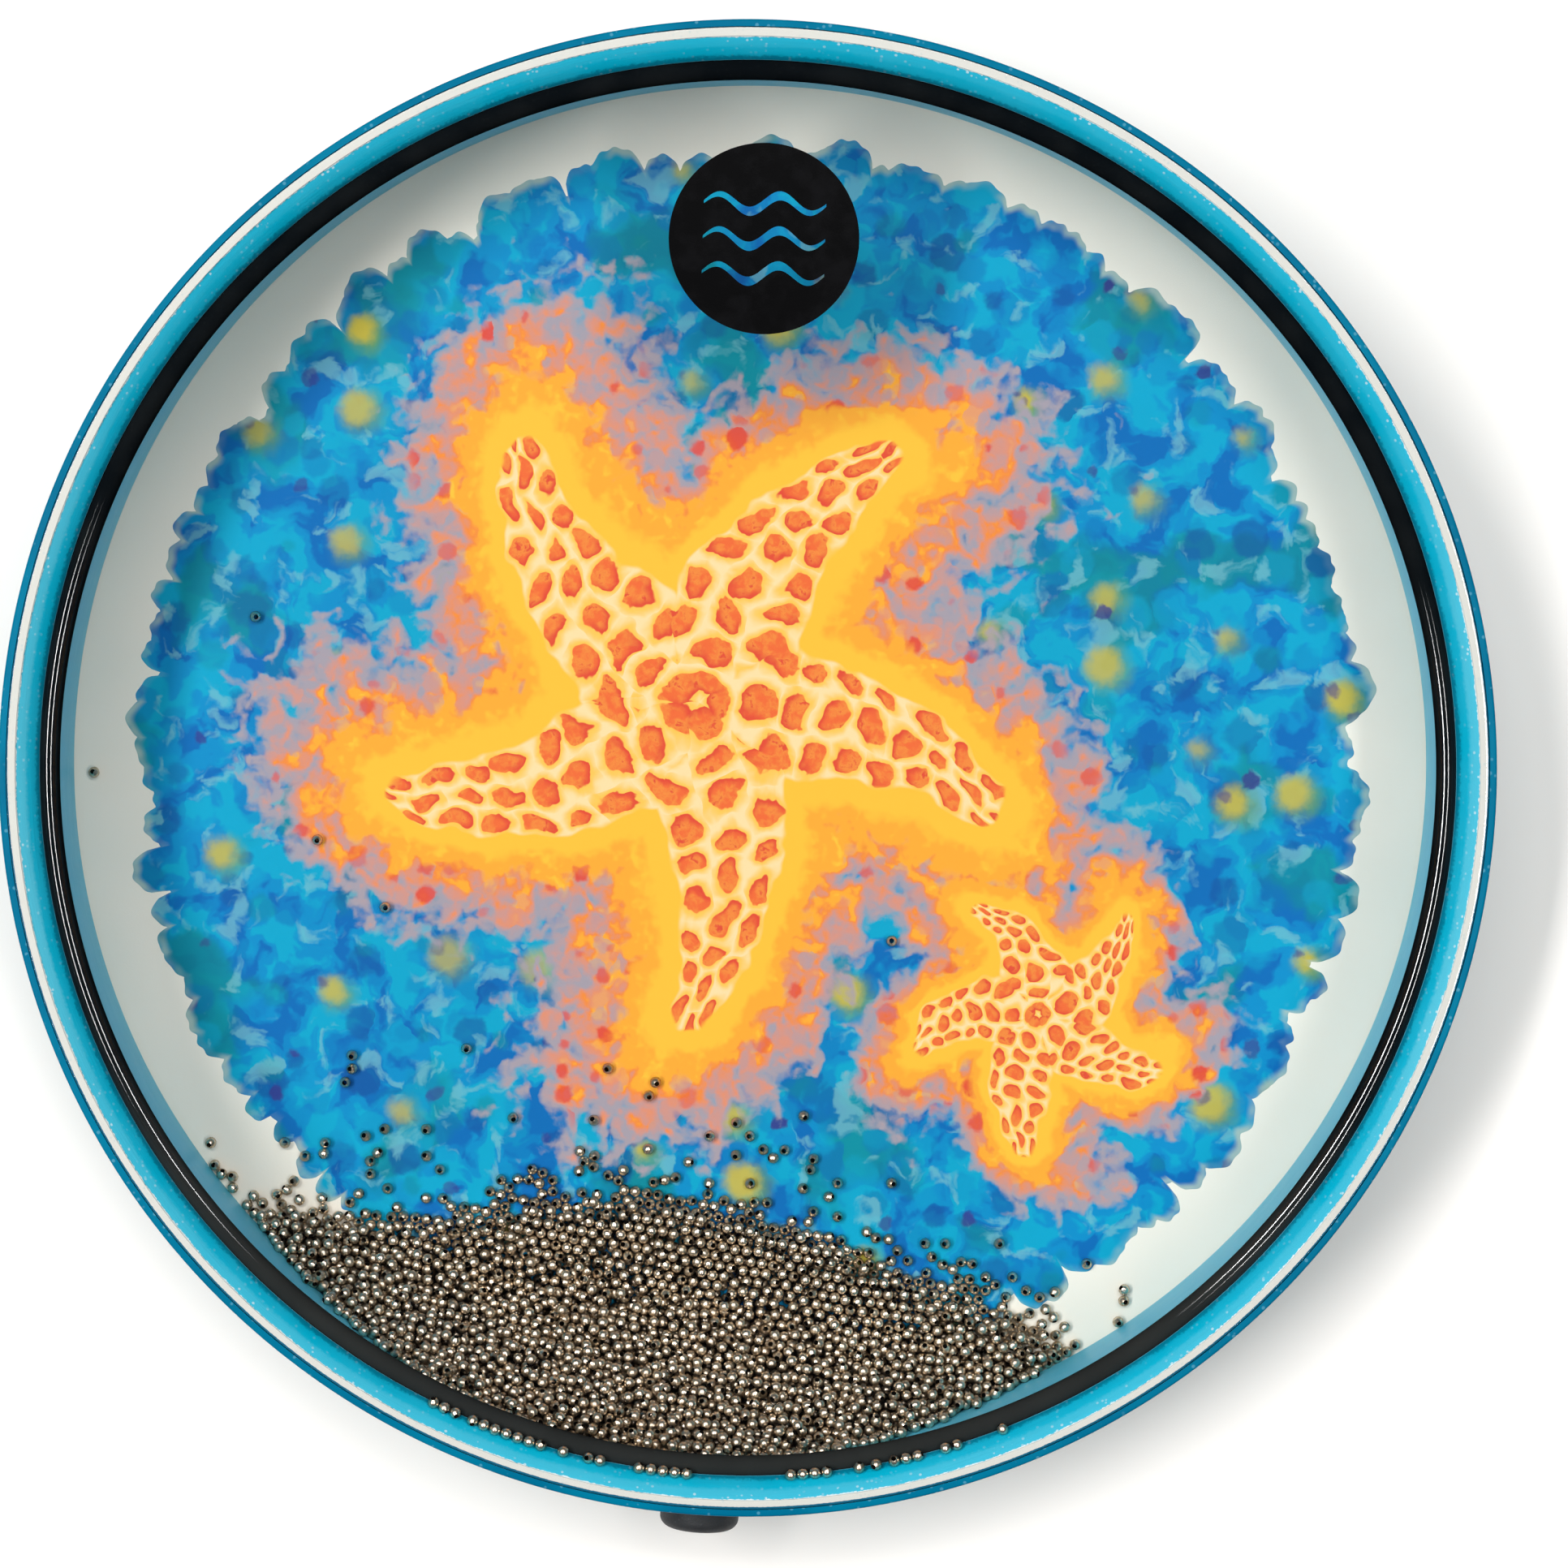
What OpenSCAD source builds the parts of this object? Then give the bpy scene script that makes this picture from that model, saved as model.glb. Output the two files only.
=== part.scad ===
// Ocean drum: a shallow round shell closed by two film heads, with small
// drilled steel beads sealed inside that roll over the rear head.
// The drum lies on its rear head. The origin is on the axis at the rear
// head's outer face, +Z points to the clear front head and -Y to the stopper.

/* [Drum] */
// Diameter over the two trim hoops
drum_d = 406.4; // [340:0.2:480]
// Depth over the faces of the two heads
drum_h = 63.5; // [57:0.5:80]

/* [Shell] */
// Thickness of the shell's wall
shell_wall = 7.95; // [6.5:0.05:10]
// Width of the crest that carries the front head
crest_w = 2.4; // [1.6:0.1:3.2]
// Height of the bevel cut inside the front edge
bevel_h = 6; // [5.2:0.1:6.6]
// Size of the eased inner corner at the rear edge
rear_ease = 0.8; // [0.3:0.1:1.2]

/* [Heads] */
// Thickness of the film of each head
film_t = 0.25; // [0.2:0.05:0.5]
// Height of the collar that is turned down over the shell
collar_h = 12; // [6:0.5:14]
// Thickness of the bedding tape under each head
bedding_t = 0.4; // [0.3:0.05:0.6]
// Thickness of the ink printed on the rear head
ink_t = 0.05; // [0.03:0.01:0.1]
// Bare margin of film between the wall and the middle of the ink's edge
print_margin = 15; // [10:0.5:40]
// How far the ink's ragged edge swings in and out
print_swing = 4.5; // [0:0.5:6]

/* [Badge] */
// Diameter of the round decal on the front head
badge_d = 51.4; // [40:0.2:56]
// Thickness of the decal
badge_t = 0.1; // [0.05:0.05:0.3]
// Distance from the wall to the decal's centre
badge_inset = 48.8; // [34:0.2:70]
// Turn of the decal away from straight opposite the stopper
badge_turn = 2; // [-10:0.5:10]
// Length of a wave that is left open in the decal
wave_length = 33; // [20:0.5:34]
// Width of a wave at its middle
wave_w = 2.6; // [1.5:0.1:3.5]
// Height of a wave's crests above its mean line
wave_rise = 2.2; // [1:0.1:2.6]
// Distance from one wave to the next
wave_pitch = 9.4; // [8.6:0.1:10]

/* [Trim hoops] */
// Thickness of a trim hoop
hoop_t = 2; // [1.6:0.1:3]
// Height of a trim hoop
hoop_h = 14; // [8:0.5:16]
// Radius of the hoop's outer edges
hoop_edge = 0.8; // [0.3:0.1:0.8]
// How far the hoop's edge lies below the head's face
hoop_drop = 0.9; // [0.7:0.1:2]

/* [Rim cord] */
// Diameter of the rubber cord inside the rim
cord_d = 5.6; // [4:0.1:6.2]
// Depth of the cord's middle below the front head's face
cord_drop = 8.5; // [8.3:0.1:10]
// How deep the cord is let into the wall
cord_seat = 0.3; // [0.1:0.05:0.8]
// Clearance between the cord and its seat
cord_fit = 0.05; // [0.02:0.01:0.1]

/* [Stopper] */
// Diameter of the stopper's head
stopper_d = 22; // [18:0.5:26]
// Height of the stopper's head
stopper_h = 11.8; // [6:0.2:16]
// Radius of the head's outer edge
stopper_edge = 3; // [1:0.25:4]
// Diameter of the filling hole through the shell
fill_hole_d = 14; // [10:0.5:16]
// Clearance between the shank and the filling hole, on the radius
shank_fit = 0.05; // [0.02:0.01:0.1]
// How far the shank ends short of the inner wall
shank_inset = 0.6; // [0.3:0.1:2]
// Height of the lead chamfer at the shank's end
shank_lead = 1; // [0.4:0.1:1.6]
// Thickness of the wall round the hollow in the shank
shank_wall = 1.4; // [1.2:0.1:2]
// How far that hollow runs on into the stopper's head
hollow_reach = 4; // [1:0.5:4.5]

/* [Beads] */
// Diameter of a bead
bead_d = 3.2; // [2.8:0.1:4.2]
// Diameter of the hole through a bead
bead_hole_d = 1.4; // [0.8:0.1:1.8]
// Spacing of the beads on the pile, in bead diameters
bead_spread_share = 1.4; // [1.1:0.05:1.8]
// Distance from the wall to the front of the pile
pile_depth = 44; // [30:0.5:60]
// How far the single layer in front of the pile reaches out
apron_depth = 23; // [0:0.5:30]
// Turn of the pile away from the stopper
pile_turn = 6.7; // [-30:0.1:30]

/* [Hidden] */
$fn = 96;

// Clearance between the beads that roll and what they roll past
free_gap = 0.3;
// Gap between beads that lie against each other
bead_gap = 0.1;
// Gap under the stopper's head
stopper_gap = 0.1;
// How far a cut runs past what it cuts
overrun = 1;

// Radii from the outside in
hoop_in_r = drum_d / 2 - hoop_t;
shell_r = hoop_in_r - film_t;
wall_r = shell_r - shell_wall;
crest_r = shell_r - crest_w;
cord_ring_r = wall_r - cord_d / 2 + cord_seat;
print_r = wall_r - print_margin;

// Heights from the rear head's face up
shell_low = film_t + bedding_t;
shell_high = drum_h - shell_low;
bevel_foot = shell_high - bevel_h;
cord_z = drum_h - cord_drop;
print_top = film_t + ink_t;
fill_hole_z = drum_h / 2;

// The bead row in the groove rests on the cord and against the bevel
bead_r = bead_d / 2;
bevel_turn = atan2(bevel_h, crest_r - wall_r);
bevel_in = [-sin(bevel_turn), cos(bevel_turn)];
bevel_up = [cos(bevel_turn), sin(bevel_turn)];
groove_from = [wall_r, bevel_foot] + (bead_r + free_gap) * bevel_in - [cord_ring_r, cord_z];
groove_off = groove_from * bevel_in;
groove_along = sqrt(pow(cord_d / 2 + bead_r + free_gap, 2) - pow(groove_off, 2));
groove_spot = [cord_ring_r, cord_z] + groove_off * bevel_in + groove_along * bevel_up;
groove_step = 2 * asin((bead_d + bead_gap) / 2 / groove_spot[0]);
// Runs of beads in the groove, each as its first bead's turn and its count
groove_runs = [[22.7, 3], [19.2, 7], [11.4, 1], [9.3, 2], [5.1, 5], [-7.3, 4], [-12.9, 1],
    [-14.3, 1], [-15.8, 3], [-20.1, 2], [-25, 1]];

// The pile's face climbs from the rear head to just under the cord
rest_z = print_top + free_gap + bead_r;
pile_from = wall_r - pile_depth + bead_r;
pile_reach = wall_r - free_gap - bead_r;
pile_crest_z = cord_z - cord_d / 2 - free_gap - bead_r;
pile_slope = atan2(pile_crest_z - rest_z, pile_reach - pile_from);
pile_face = norm([pile_crest_z - rest_z, pile_reach - pile_from]);
bead_pitch = bead_d * bead_spread_share;
row_step = bead_pitch * sin(60);
row_count = floor(pile_face / row_step) + 1;
// Rows of the pile's face that belong to each layer node, as shares of the face
layer_shares = [0, 0.08, 0.42, 1];
// The apron's half widths to either side of its middle, and that middle, as shares of wall_r
apron_wide_share = 0.83;
apron_narrow_share = 0.57;
apron_middle_share = -0.03;
turn_seed = 11;

// Loose beads on the rear head, as shares of the wall's radius
scatter_turn = 3.8;
scatter_shares = [[-0.97, -0.01], [-0.73, 0.22], [-0.64, -0.11], [-0.54, -0.21], [0.21, -0.26],
    [-0.8, -0.56], [-0.42, -0.42], [-0.59, -0.43], [-0.59, -0.45], [-0.6, -0.47], [-0.69, -0.56],
    [-0.63, -0.56], [-0.66, -0.58], [-0.57, -0.55], [-0.48, -0.54], [-0.48, -0.58], [-0.46, -0.6],
    [-0.14, -0.47], [-0.15, -0.49], [-0.06, -0.55], [-0.02, -0.53], [0, -0.55], [0.08, -0.52],
    [0.02, -0.57], [0.09, -0.6], [0.13, -0.62], [0.21, -0.62], [0.13, -0.67], [0.26, -0.71],
    [0.29, -0.71], [0.27, -0.73], [0.37, -0.71], [0.33, -0.74], [0.5, -0.74], [0.35, -0.76],
    [0.39, -0.76], [0.41, -0.78], [0.38, -0.79], [0.43, -0.79], [0.35, -0.78]];

// Waves across the ink's edge: waves per turn, share of the swing, start
edge_waves = [[7, 0.4, 20], [13, 0.3, 75], [23, 0.3, 10]];
edge_points = 180;
wave_points = 28;
wave_crests = 2;
wave_tip_share = 0.3;

// Half outline of a round cup, its face down at zero and its outer corner round
module cup_outline(r, h, bend) {
    translate([0, bend]) square([r, h - bend]);
    square([r - bend, h]);
    translate([r - bend, bend]) circle(r = bend);
}

// Turns what is made for the rear head over to the front head
module at_front() {
    translate([0, 0, drum_h]) mirror([0, 0, 1]) children();
}

// Puts what is made along +Z on the stopper's axis, at a distance from the drum's axis
module on_stopper_axis(reach) {
    translate([0, 0, fill_hole_z]) rotate([90, 0, 0]) translate([0, 0, reach]) children();
}

// The shell: straight outside, a crest and a bevel in front, an eased corner at the rear
module shell_outline() {
    difference() {
        polygon([[wall_r + rear_ease, shell_low], [shell_r, shell_low], [shell_r, shell_high],
            [crest_r, shell_high], [wall_r, bevel_foot], [wall_r, shell_low + rear_ease]]);
        translate([cord_ring_r, cord_z]) circle(r = cord_d / 2 + cord_fit);
    }
}

module shell() {
    color("darkturquoise") difference() {
        rotate_extrude() shell_outline();
        on_stopper_axis(wall_r - overrun) cylinder(d = fill_hole_d, h = shell_wall + 2 * overrun);
    }
}

// Bedding tape between a head and the shell's edge, from in_r outwards
module bedding(in_r) {
    color("ivory") rotate_extrude() intersection() {
        translate([0, film_t]) cup_outline(shell_r, collar_h, bedding_t);
        translate([in_r, film_t]) square([shell_r - in_r, bedding_t]);
    }
}

module front_bedding() {
    at_front() bedding(crest_r);
}

module rear_bedding() {
    bedding(wall_r + rear_ease);
}

// The flat film of a head, out to where its collar starts to turn down
module head_film() {
    cylinder(r = shell_r - bedding_t, h = film_t, $fn = 240);
}

// The collar of a head, turned down over the shell under the trim hoop
module head_collar() {
    rotate_extrude($fn = 240) difference() {
        cup_outline(hoop_in_r, collar_h, film_t + bedding_t);
        translate([0, film_t]) cup_outline(shell_r, collar_h, bedding_t);
        square([shell_r - bedding_t, film_t]);
    }
}

module front_head() {
    color("aliceblue", 0.3) at_front() head_film();
}

module front_collar() {
    color("aliceblue", 0.3) at_front() head_collar();
}

module rear_head() {
    color("gainsboro") head_film();
}

module rear_collar() {
    color("gainsboro") head_collar();
}

// Ink on the inner face of the rear head
function edge_swing(a) = [for (w = edge_waves) w[1] * sin(w[0] * a + w[2])] * [1, 1, 1];

module head_print() {
    color("deepskyblue") translate([0, 0, film_t]) linear_extrude(ink_t)
        polygon([for (k = [0 : edge_points - 1])
            let (a = 360 * k / edge_points, r = print_r + print_swing * edge_swing(a))
                [r * cos(a), r * sin(a)]]);
}

// One side of a wave: its mean line moved by half its width, which narrows to the tips
function wave_side(side) = [for (k = [0 : wave_points])
    let (s = k / wave_points, narrow = wave_tip_share + (1 - wave_tip_share) * sin(180 * s))
        [(s - 1 / 2) * wave_length,
            wave_rise * sin(360 * wave_crests * s) + side * narrow * wave_w / 2]];

module wave() {
    upper = wave_side(1);
    lower = wave_side(-1);
    polygon(concat(upper, [for (k = [wave_points : -1 : 0]) lower[k]]));
}

module badge() {
    color("black") rotate([0, 0, badge_turn])
        translate([0, wall_r - badge_inset, drum_h]) linear_extrude(badge_t) difference() {
            circle(d = badge_d);
            for (row = [-1 : 1]) translate([0, row * wave_pitch]) wave();
        }
}

// Trim hoop over a head's collar, with its two outer edges rounded
module hoop_outline() {
    square([hoop_t - hoop_edge, hoop_h]);
    translate([0, hoop_edge]) square([hoop_t, hoop_h - 2 * hoop_edge]);
    for (y = [hoop_edge, hoop_h - hoop_edge]) translate([hoop_t - hoop_edge, y]) circle(r = hoop_edge);
}

module hoop() {
    color("steelblue") rotate_extrude() translate([hoop_in_r, hoop_drop]) hoop_outline();
}

module front_hoop() {
    at_front() hoop();
}

module rear_hoop() {
    hoop();
}

// Rubber cord laid round the inner wall, let a little way into it
module rim_cord() {
    color("black") rotate_extrude() translate([cord_ring_r, cord_z]) circle(d = cord_d);
}

// Rubber stopper of the filling hole: a round-edged head on a straight shank, hollow from its end
module stopper() {
    shank_r = fill_hole_d / 2 - shank_fit;
    color("dimgray") difference() {
        union() {
            on_stopper_axis(shell_r + stopper_gap + stopper_h) mirror([0, 0, 1])
                rotate_extrude() cup_outline(stopper_d / 2, stopper_h, stopper_edge);
            on_stopper_axis(wall_r + shank_inset + shank_lead)
                cylinder(r = shank_r, h = shell_wall - shank_inset - shank_lead + stopper_gap + overrun);
            on_stopper_axis(wall_r + shank_inset)
                cylinder(r1 = shank_r - shank_lead / 2, r2 = shank_r, h = shank_lead);
        }
        on_stopper_axis(wall_r + shank_inset - overrun)
            cylinder(r = shank_r - shank_wall, h = shell_wall - shank_inset + overrun + hollow_reach);
    }
}

// A drilled steel bead, its hole turned and tipped
module bead(turn, tip) {
    rotate([0, tip, turn]) difference() {
        sphere(d = bead_d, $fn = 24);
        cylinder(d = bead_hole_d, h = bead_d + 2 * overrun, center = true, $fn = 16);
    }
}

// The pile's own frame: +Y runs from the axis to the wall behind the pile
module in_pile() {
    rotate([0, 0, 180 - pile_turn]) children();
}

// The buried mass of the pile, under the beads of its face
module bead_core() {
    color("dimgray") in_pile() intersection() {
        translate([0, 0, print_top + free_gap]) cylinder(r = wall_r - free_gap, h = drum_h);
        translate([0, pile_from, rest_z]) rotate([pile_slope, 0, 0])
            translate([-wall_r, -wall_r, -drum_d - bead_r - bead_gap]) cube([2 * wall_r, drum_d, drum_d]);
    }
}

// Where the apron of single beads ends, in the pile's frame
function apron_edge(x) = let (off = x / wall_r - apron_middle_share,
    half = off < 0 ? apron_wide_share : apron_narrow_share)
        abs(off) > half ? pile_from : pile_from - apron_depth * pow(cos(90 * off / half), 2);

// Rows of single beads on the rear head in front of the pile
module bead_apron() {
    turns = rands(0, 360, row_count, turn_seed);
    for (row = [1 : floor(apron_depth / row_step)])
        let (y = pile_from - row * row_step, shift = (row % 2) / 2,
            last = floor(pile_reach * apron_wide_share / bead_pitch))
                for (k = [-last : last])
                    let (x = (k + shift) * bead_pitch)
                        if (y > apron_edge(x) + bead_r)
                            translate([x, y, rest_z]) bead(turns[row] + k * 67, k * 41 + turns[row]);
}

// Rows of beads on the pile's face, those whose share of the face lies in one layer
module bead_layer(layer) {
    turns = rands(0, 360, row_count, turn_seed + layer);
    for (row = [0 : row_count - 1])
        let (share = row * row_step / pile_face, y = pile_from + row * row_step * cos(pile_slope))
            if (share >= layer_shares[layer] && share < layer_shares[layer + 1])
                let (z = rest_z + row * row_step * sin(pile_slope),
                    half = sqrt(pow(pile_reach, 2) - pow(y, 2)),
                    shift = (row % 2) / 2,
                    last = floor(half / bead_pitch - shift))
                    for (k = [-last - row % 2 : last])
                        translate([(k + shift) * bead_pitch, y, z])
                            bead(turns[row] + k * 67, k * 41 + turns[row]);
}

module bead_layer_low() {
    color("silver") in_pile() {
        bead_apron();
        bead_layer(0);
    }
}

module bead_layer_mid() {
    color("silver") in_pile() bead_layer(1);
}

module bead_layer_top() {
    color("silver") in_pile() bead_layer(2);
}

// Beads that have slipped past the cord and lie in the groove behind it
module groove_beads() {
    color("silver") for (run = groove_runs, k = [0 : run[1] - 1])
        rotate([0, 0, -(run[0] - k * groove_step)]) translate([0, -groove_spot[0], groove_spot[1]])
            bead(run[0] * 31 + k * 67, k * 53);
}

// Single beads that have rolled out over the rear head
module loose_beads() {
    color("silver") rotate([0, 0, scatter_turn]) for (k = [0 : len(scatter_shares) - 1])
        translate([scatter_shares[k][0] * wall_r, scatter_shares[k][1] * wall_r, rest_z])
            bead(k * 67, k * 41);
}

shell();
front_bedding();
rear_bedding();
front_head();
front_collar();
rear_head();
rear_collar();
head_print();
badge();
front_hoop();
rear_hoop();
rim_cord();
stopper();
bead_core();
bead_layer_low();
bead_layer_mid();
bead_layer_top();
groove_beads();
loose_beads();
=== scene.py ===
"""The looks of an ocean drum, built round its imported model.

The drum lies on its rear head. The origin is on its axis at the rear head's outer face, +Z points
to the clear front head and -Y to the stopper. Every length is in metres unless its name says mm.
"""

import logging
import math
from dataclasses import dataclass
from enum import Enum
from typing import Sequence

import bmesh
import bpy
import numpy as np
from mathutils import Matrix, Vector


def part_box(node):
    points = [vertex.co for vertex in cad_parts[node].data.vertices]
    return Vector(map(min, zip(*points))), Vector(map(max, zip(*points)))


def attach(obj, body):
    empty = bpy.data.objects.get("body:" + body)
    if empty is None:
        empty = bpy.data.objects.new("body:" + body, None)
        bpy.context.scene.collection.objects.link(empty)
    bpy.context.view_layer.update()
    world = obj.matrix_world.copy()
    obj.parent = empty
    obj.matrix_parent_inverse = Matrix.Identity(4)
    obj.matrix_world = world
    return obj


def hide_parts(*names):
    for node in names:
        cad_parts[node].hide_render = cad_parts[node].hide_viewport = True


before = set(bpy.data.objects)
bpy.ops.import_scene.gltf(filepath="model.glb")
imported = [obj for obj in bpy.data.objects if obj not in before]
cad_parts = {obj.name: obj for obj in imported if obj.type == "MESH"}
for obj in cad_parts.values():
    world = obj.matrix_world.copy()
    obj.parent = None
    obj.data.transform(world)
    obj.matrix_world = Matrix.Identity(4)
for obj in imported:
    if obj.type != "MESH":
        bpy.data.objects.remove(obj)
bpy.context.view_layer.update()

log = logging.getLogger("ocean_drum")

MM = 0.001
FULL_TURN = 2 * math.pi
ON_AXIS = 0.0001 * MM

NUMBER = "NodeSocketFloat"
WHOLE = "NodeSocketInt"
VECTOR = "NodeSocketVector"
TINT = "NodeSocketColor"
GEOMETRY = "NodeSocketGeometry"
MATERIAL = "NodeSocketMaterial"
OBJECT = "NodeSocketObject"

Colour = tuple[float, float, float]
Profile = list[tuple[float, float]]


def srgb(red: int, green: int, blue: int) -> Colour:
    """Turns a colour as seen on a screen into the linear one that shaders take.

    Args:
        red: Red, 0 to 255.
        green: Green, 0 to 255.
        blue: Blue, 0 to 255.

    Returns:
        The linear colour, each part 0 to 1.
    """
    def linear(value: int) -> float:
        """One part of the colour, made linear."""
        share = value / 255
        return share / 12.92 if share <= 0.04045 else ((share + 0.055) / 1.055) ** 2.4
    return linear(red), linear(green), linear(blue)


class Body(Enum):
    """The bodies that pieces ride on."""

    DRUM = "drum"
    STOPPER = "stopper"
    BEAD_PILE = "bead_pile"
    GROOVE_ROW = "groove_row"


class Slot(Enum):
    """The record's material slots."""

    PAINT = "shell_paint"
    TAPE = "bedding_tape"
    CLEAR_FILM = "clear_film"
    MILKY_FILM = "milky_film"
    PRINT = "print_ink"
    BADGE = "badge_ink"
    HOOP = "hoop_plastic"
    CORD = "cord_rubber"
    STOPPER = "stopper_rubber"
    BEADS = "bead_steel"


# Shader building


class Tone:
    """A number that changes over a surface, with ordinary arithmetic on it."""

    def __init__(self, tree: bpy.types.NodeTree, socket: bpy.types.NodeSocket) -> None:
        """Wraps an output socket of a tree."""
        self.tree = tree
        self.socket = socket

    def math(self, operation: str, *values: "Tone | float") -> "Tone":
        """Adds one Math node to the tree.

        Args:
            operation: The node's operation.
            values: What goes into the node, in order.

        Returns:
            The node's result.
        """
        node = self.tree.nodes.new("ShaderNodeMath")
        node.operation = operation
        for pin, value in zip(node.inputs, values):
            plug(self.tree, pin, value)
        return Tone(self.tree, node.outputs[0])

    def __add__(self, other: "Tone | float") -> "Tone":
        """The sum."""
        return self.math("ADD", self, other)

    def __sub__(self, other: "Tone | float") -> "Tone":
        """The difference."""
        return self.math("SUBTRACT", self, other)

    def __mul__(self, other: "Tone | float") -> "Tone":
        """The product."""
        return self.math("MULTIPLY", self, other)

    def __truediv__(self, other: "Tone | float") -> "Tone":
        """The quotient."""
        return self.math("DIVIDE", self, other)

    def __pow__(self, other: "Tone | float") -> "Tone":
        """The power."""
        return self.math("POWER", self, other)

    def flipped(self) -> "Tone":
        """One minus the number."""
        return self.math("SUBTRACT", 1.0, self)

    def least(self, other: "Tone | float") -> "Tone":
        """The smaller of two."""
        return self.math("MINIMUM", self, other)

    def most(self, other: "Tone | float") -> "Tone":
        """The larger of two."""
        return self.math("MAXIMUM", self, other)

    def over(self, limit: "Tone | float") -> "Tone":
        """One where the number is over the limit, else nothing."""
        return self.math("GREATER_THAN", self, limit)

    def size(self) -> "Tone":
        """The number without its sign."""
        return self.math("ABSOLUTE", self)

    def hypot(self, other: "Tone") -> "Tone":
        """How far a point lies from the origin, from its two coordinates."""
        return self.math("SQRT", self * self + other * other)

    def rise(self, low: float, high: float) -> "Tone":
        """A smooth step.

        Args:
            low: Where the step starts, at nothing.
            high: Where it ends, at one. It may lie below low.

        Returns:
            The step, 0 to 1.
        """
        node = self.tree.nodes.new("ShaderNodeMapRange")
        node.interpolation_type = "SMOOTHSTEP"
        for name, value in (("Value", self), ("From Min", low), ("From Max", high)):
            plug(self.tree, node.inputs[name], value)
        return Tone(self.tree, node.outputs[0])


def plug(tree: bpy.types.NodeTree, pin: bpy.types.NodeSocket, value: object) -> None:
    """Links or sets an input socket.

    Args:
        tree: The tree that holds the socket.
        pin: The input socket.
        value: A Tone, an output socket, a number, a colour or a vector.
    """
    if isinstance(value, Tone):
        tree.links.new(value.socket, pin)
    elif isinstance(value, bpy.types.NodeSocket):
        tree.links.new(value, pin)
    elif pin.type == "RGBA" and len(value) == 3:
        pin.default_value = (*value, 1.0)
    else:
        pin.default_value = value


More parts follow.
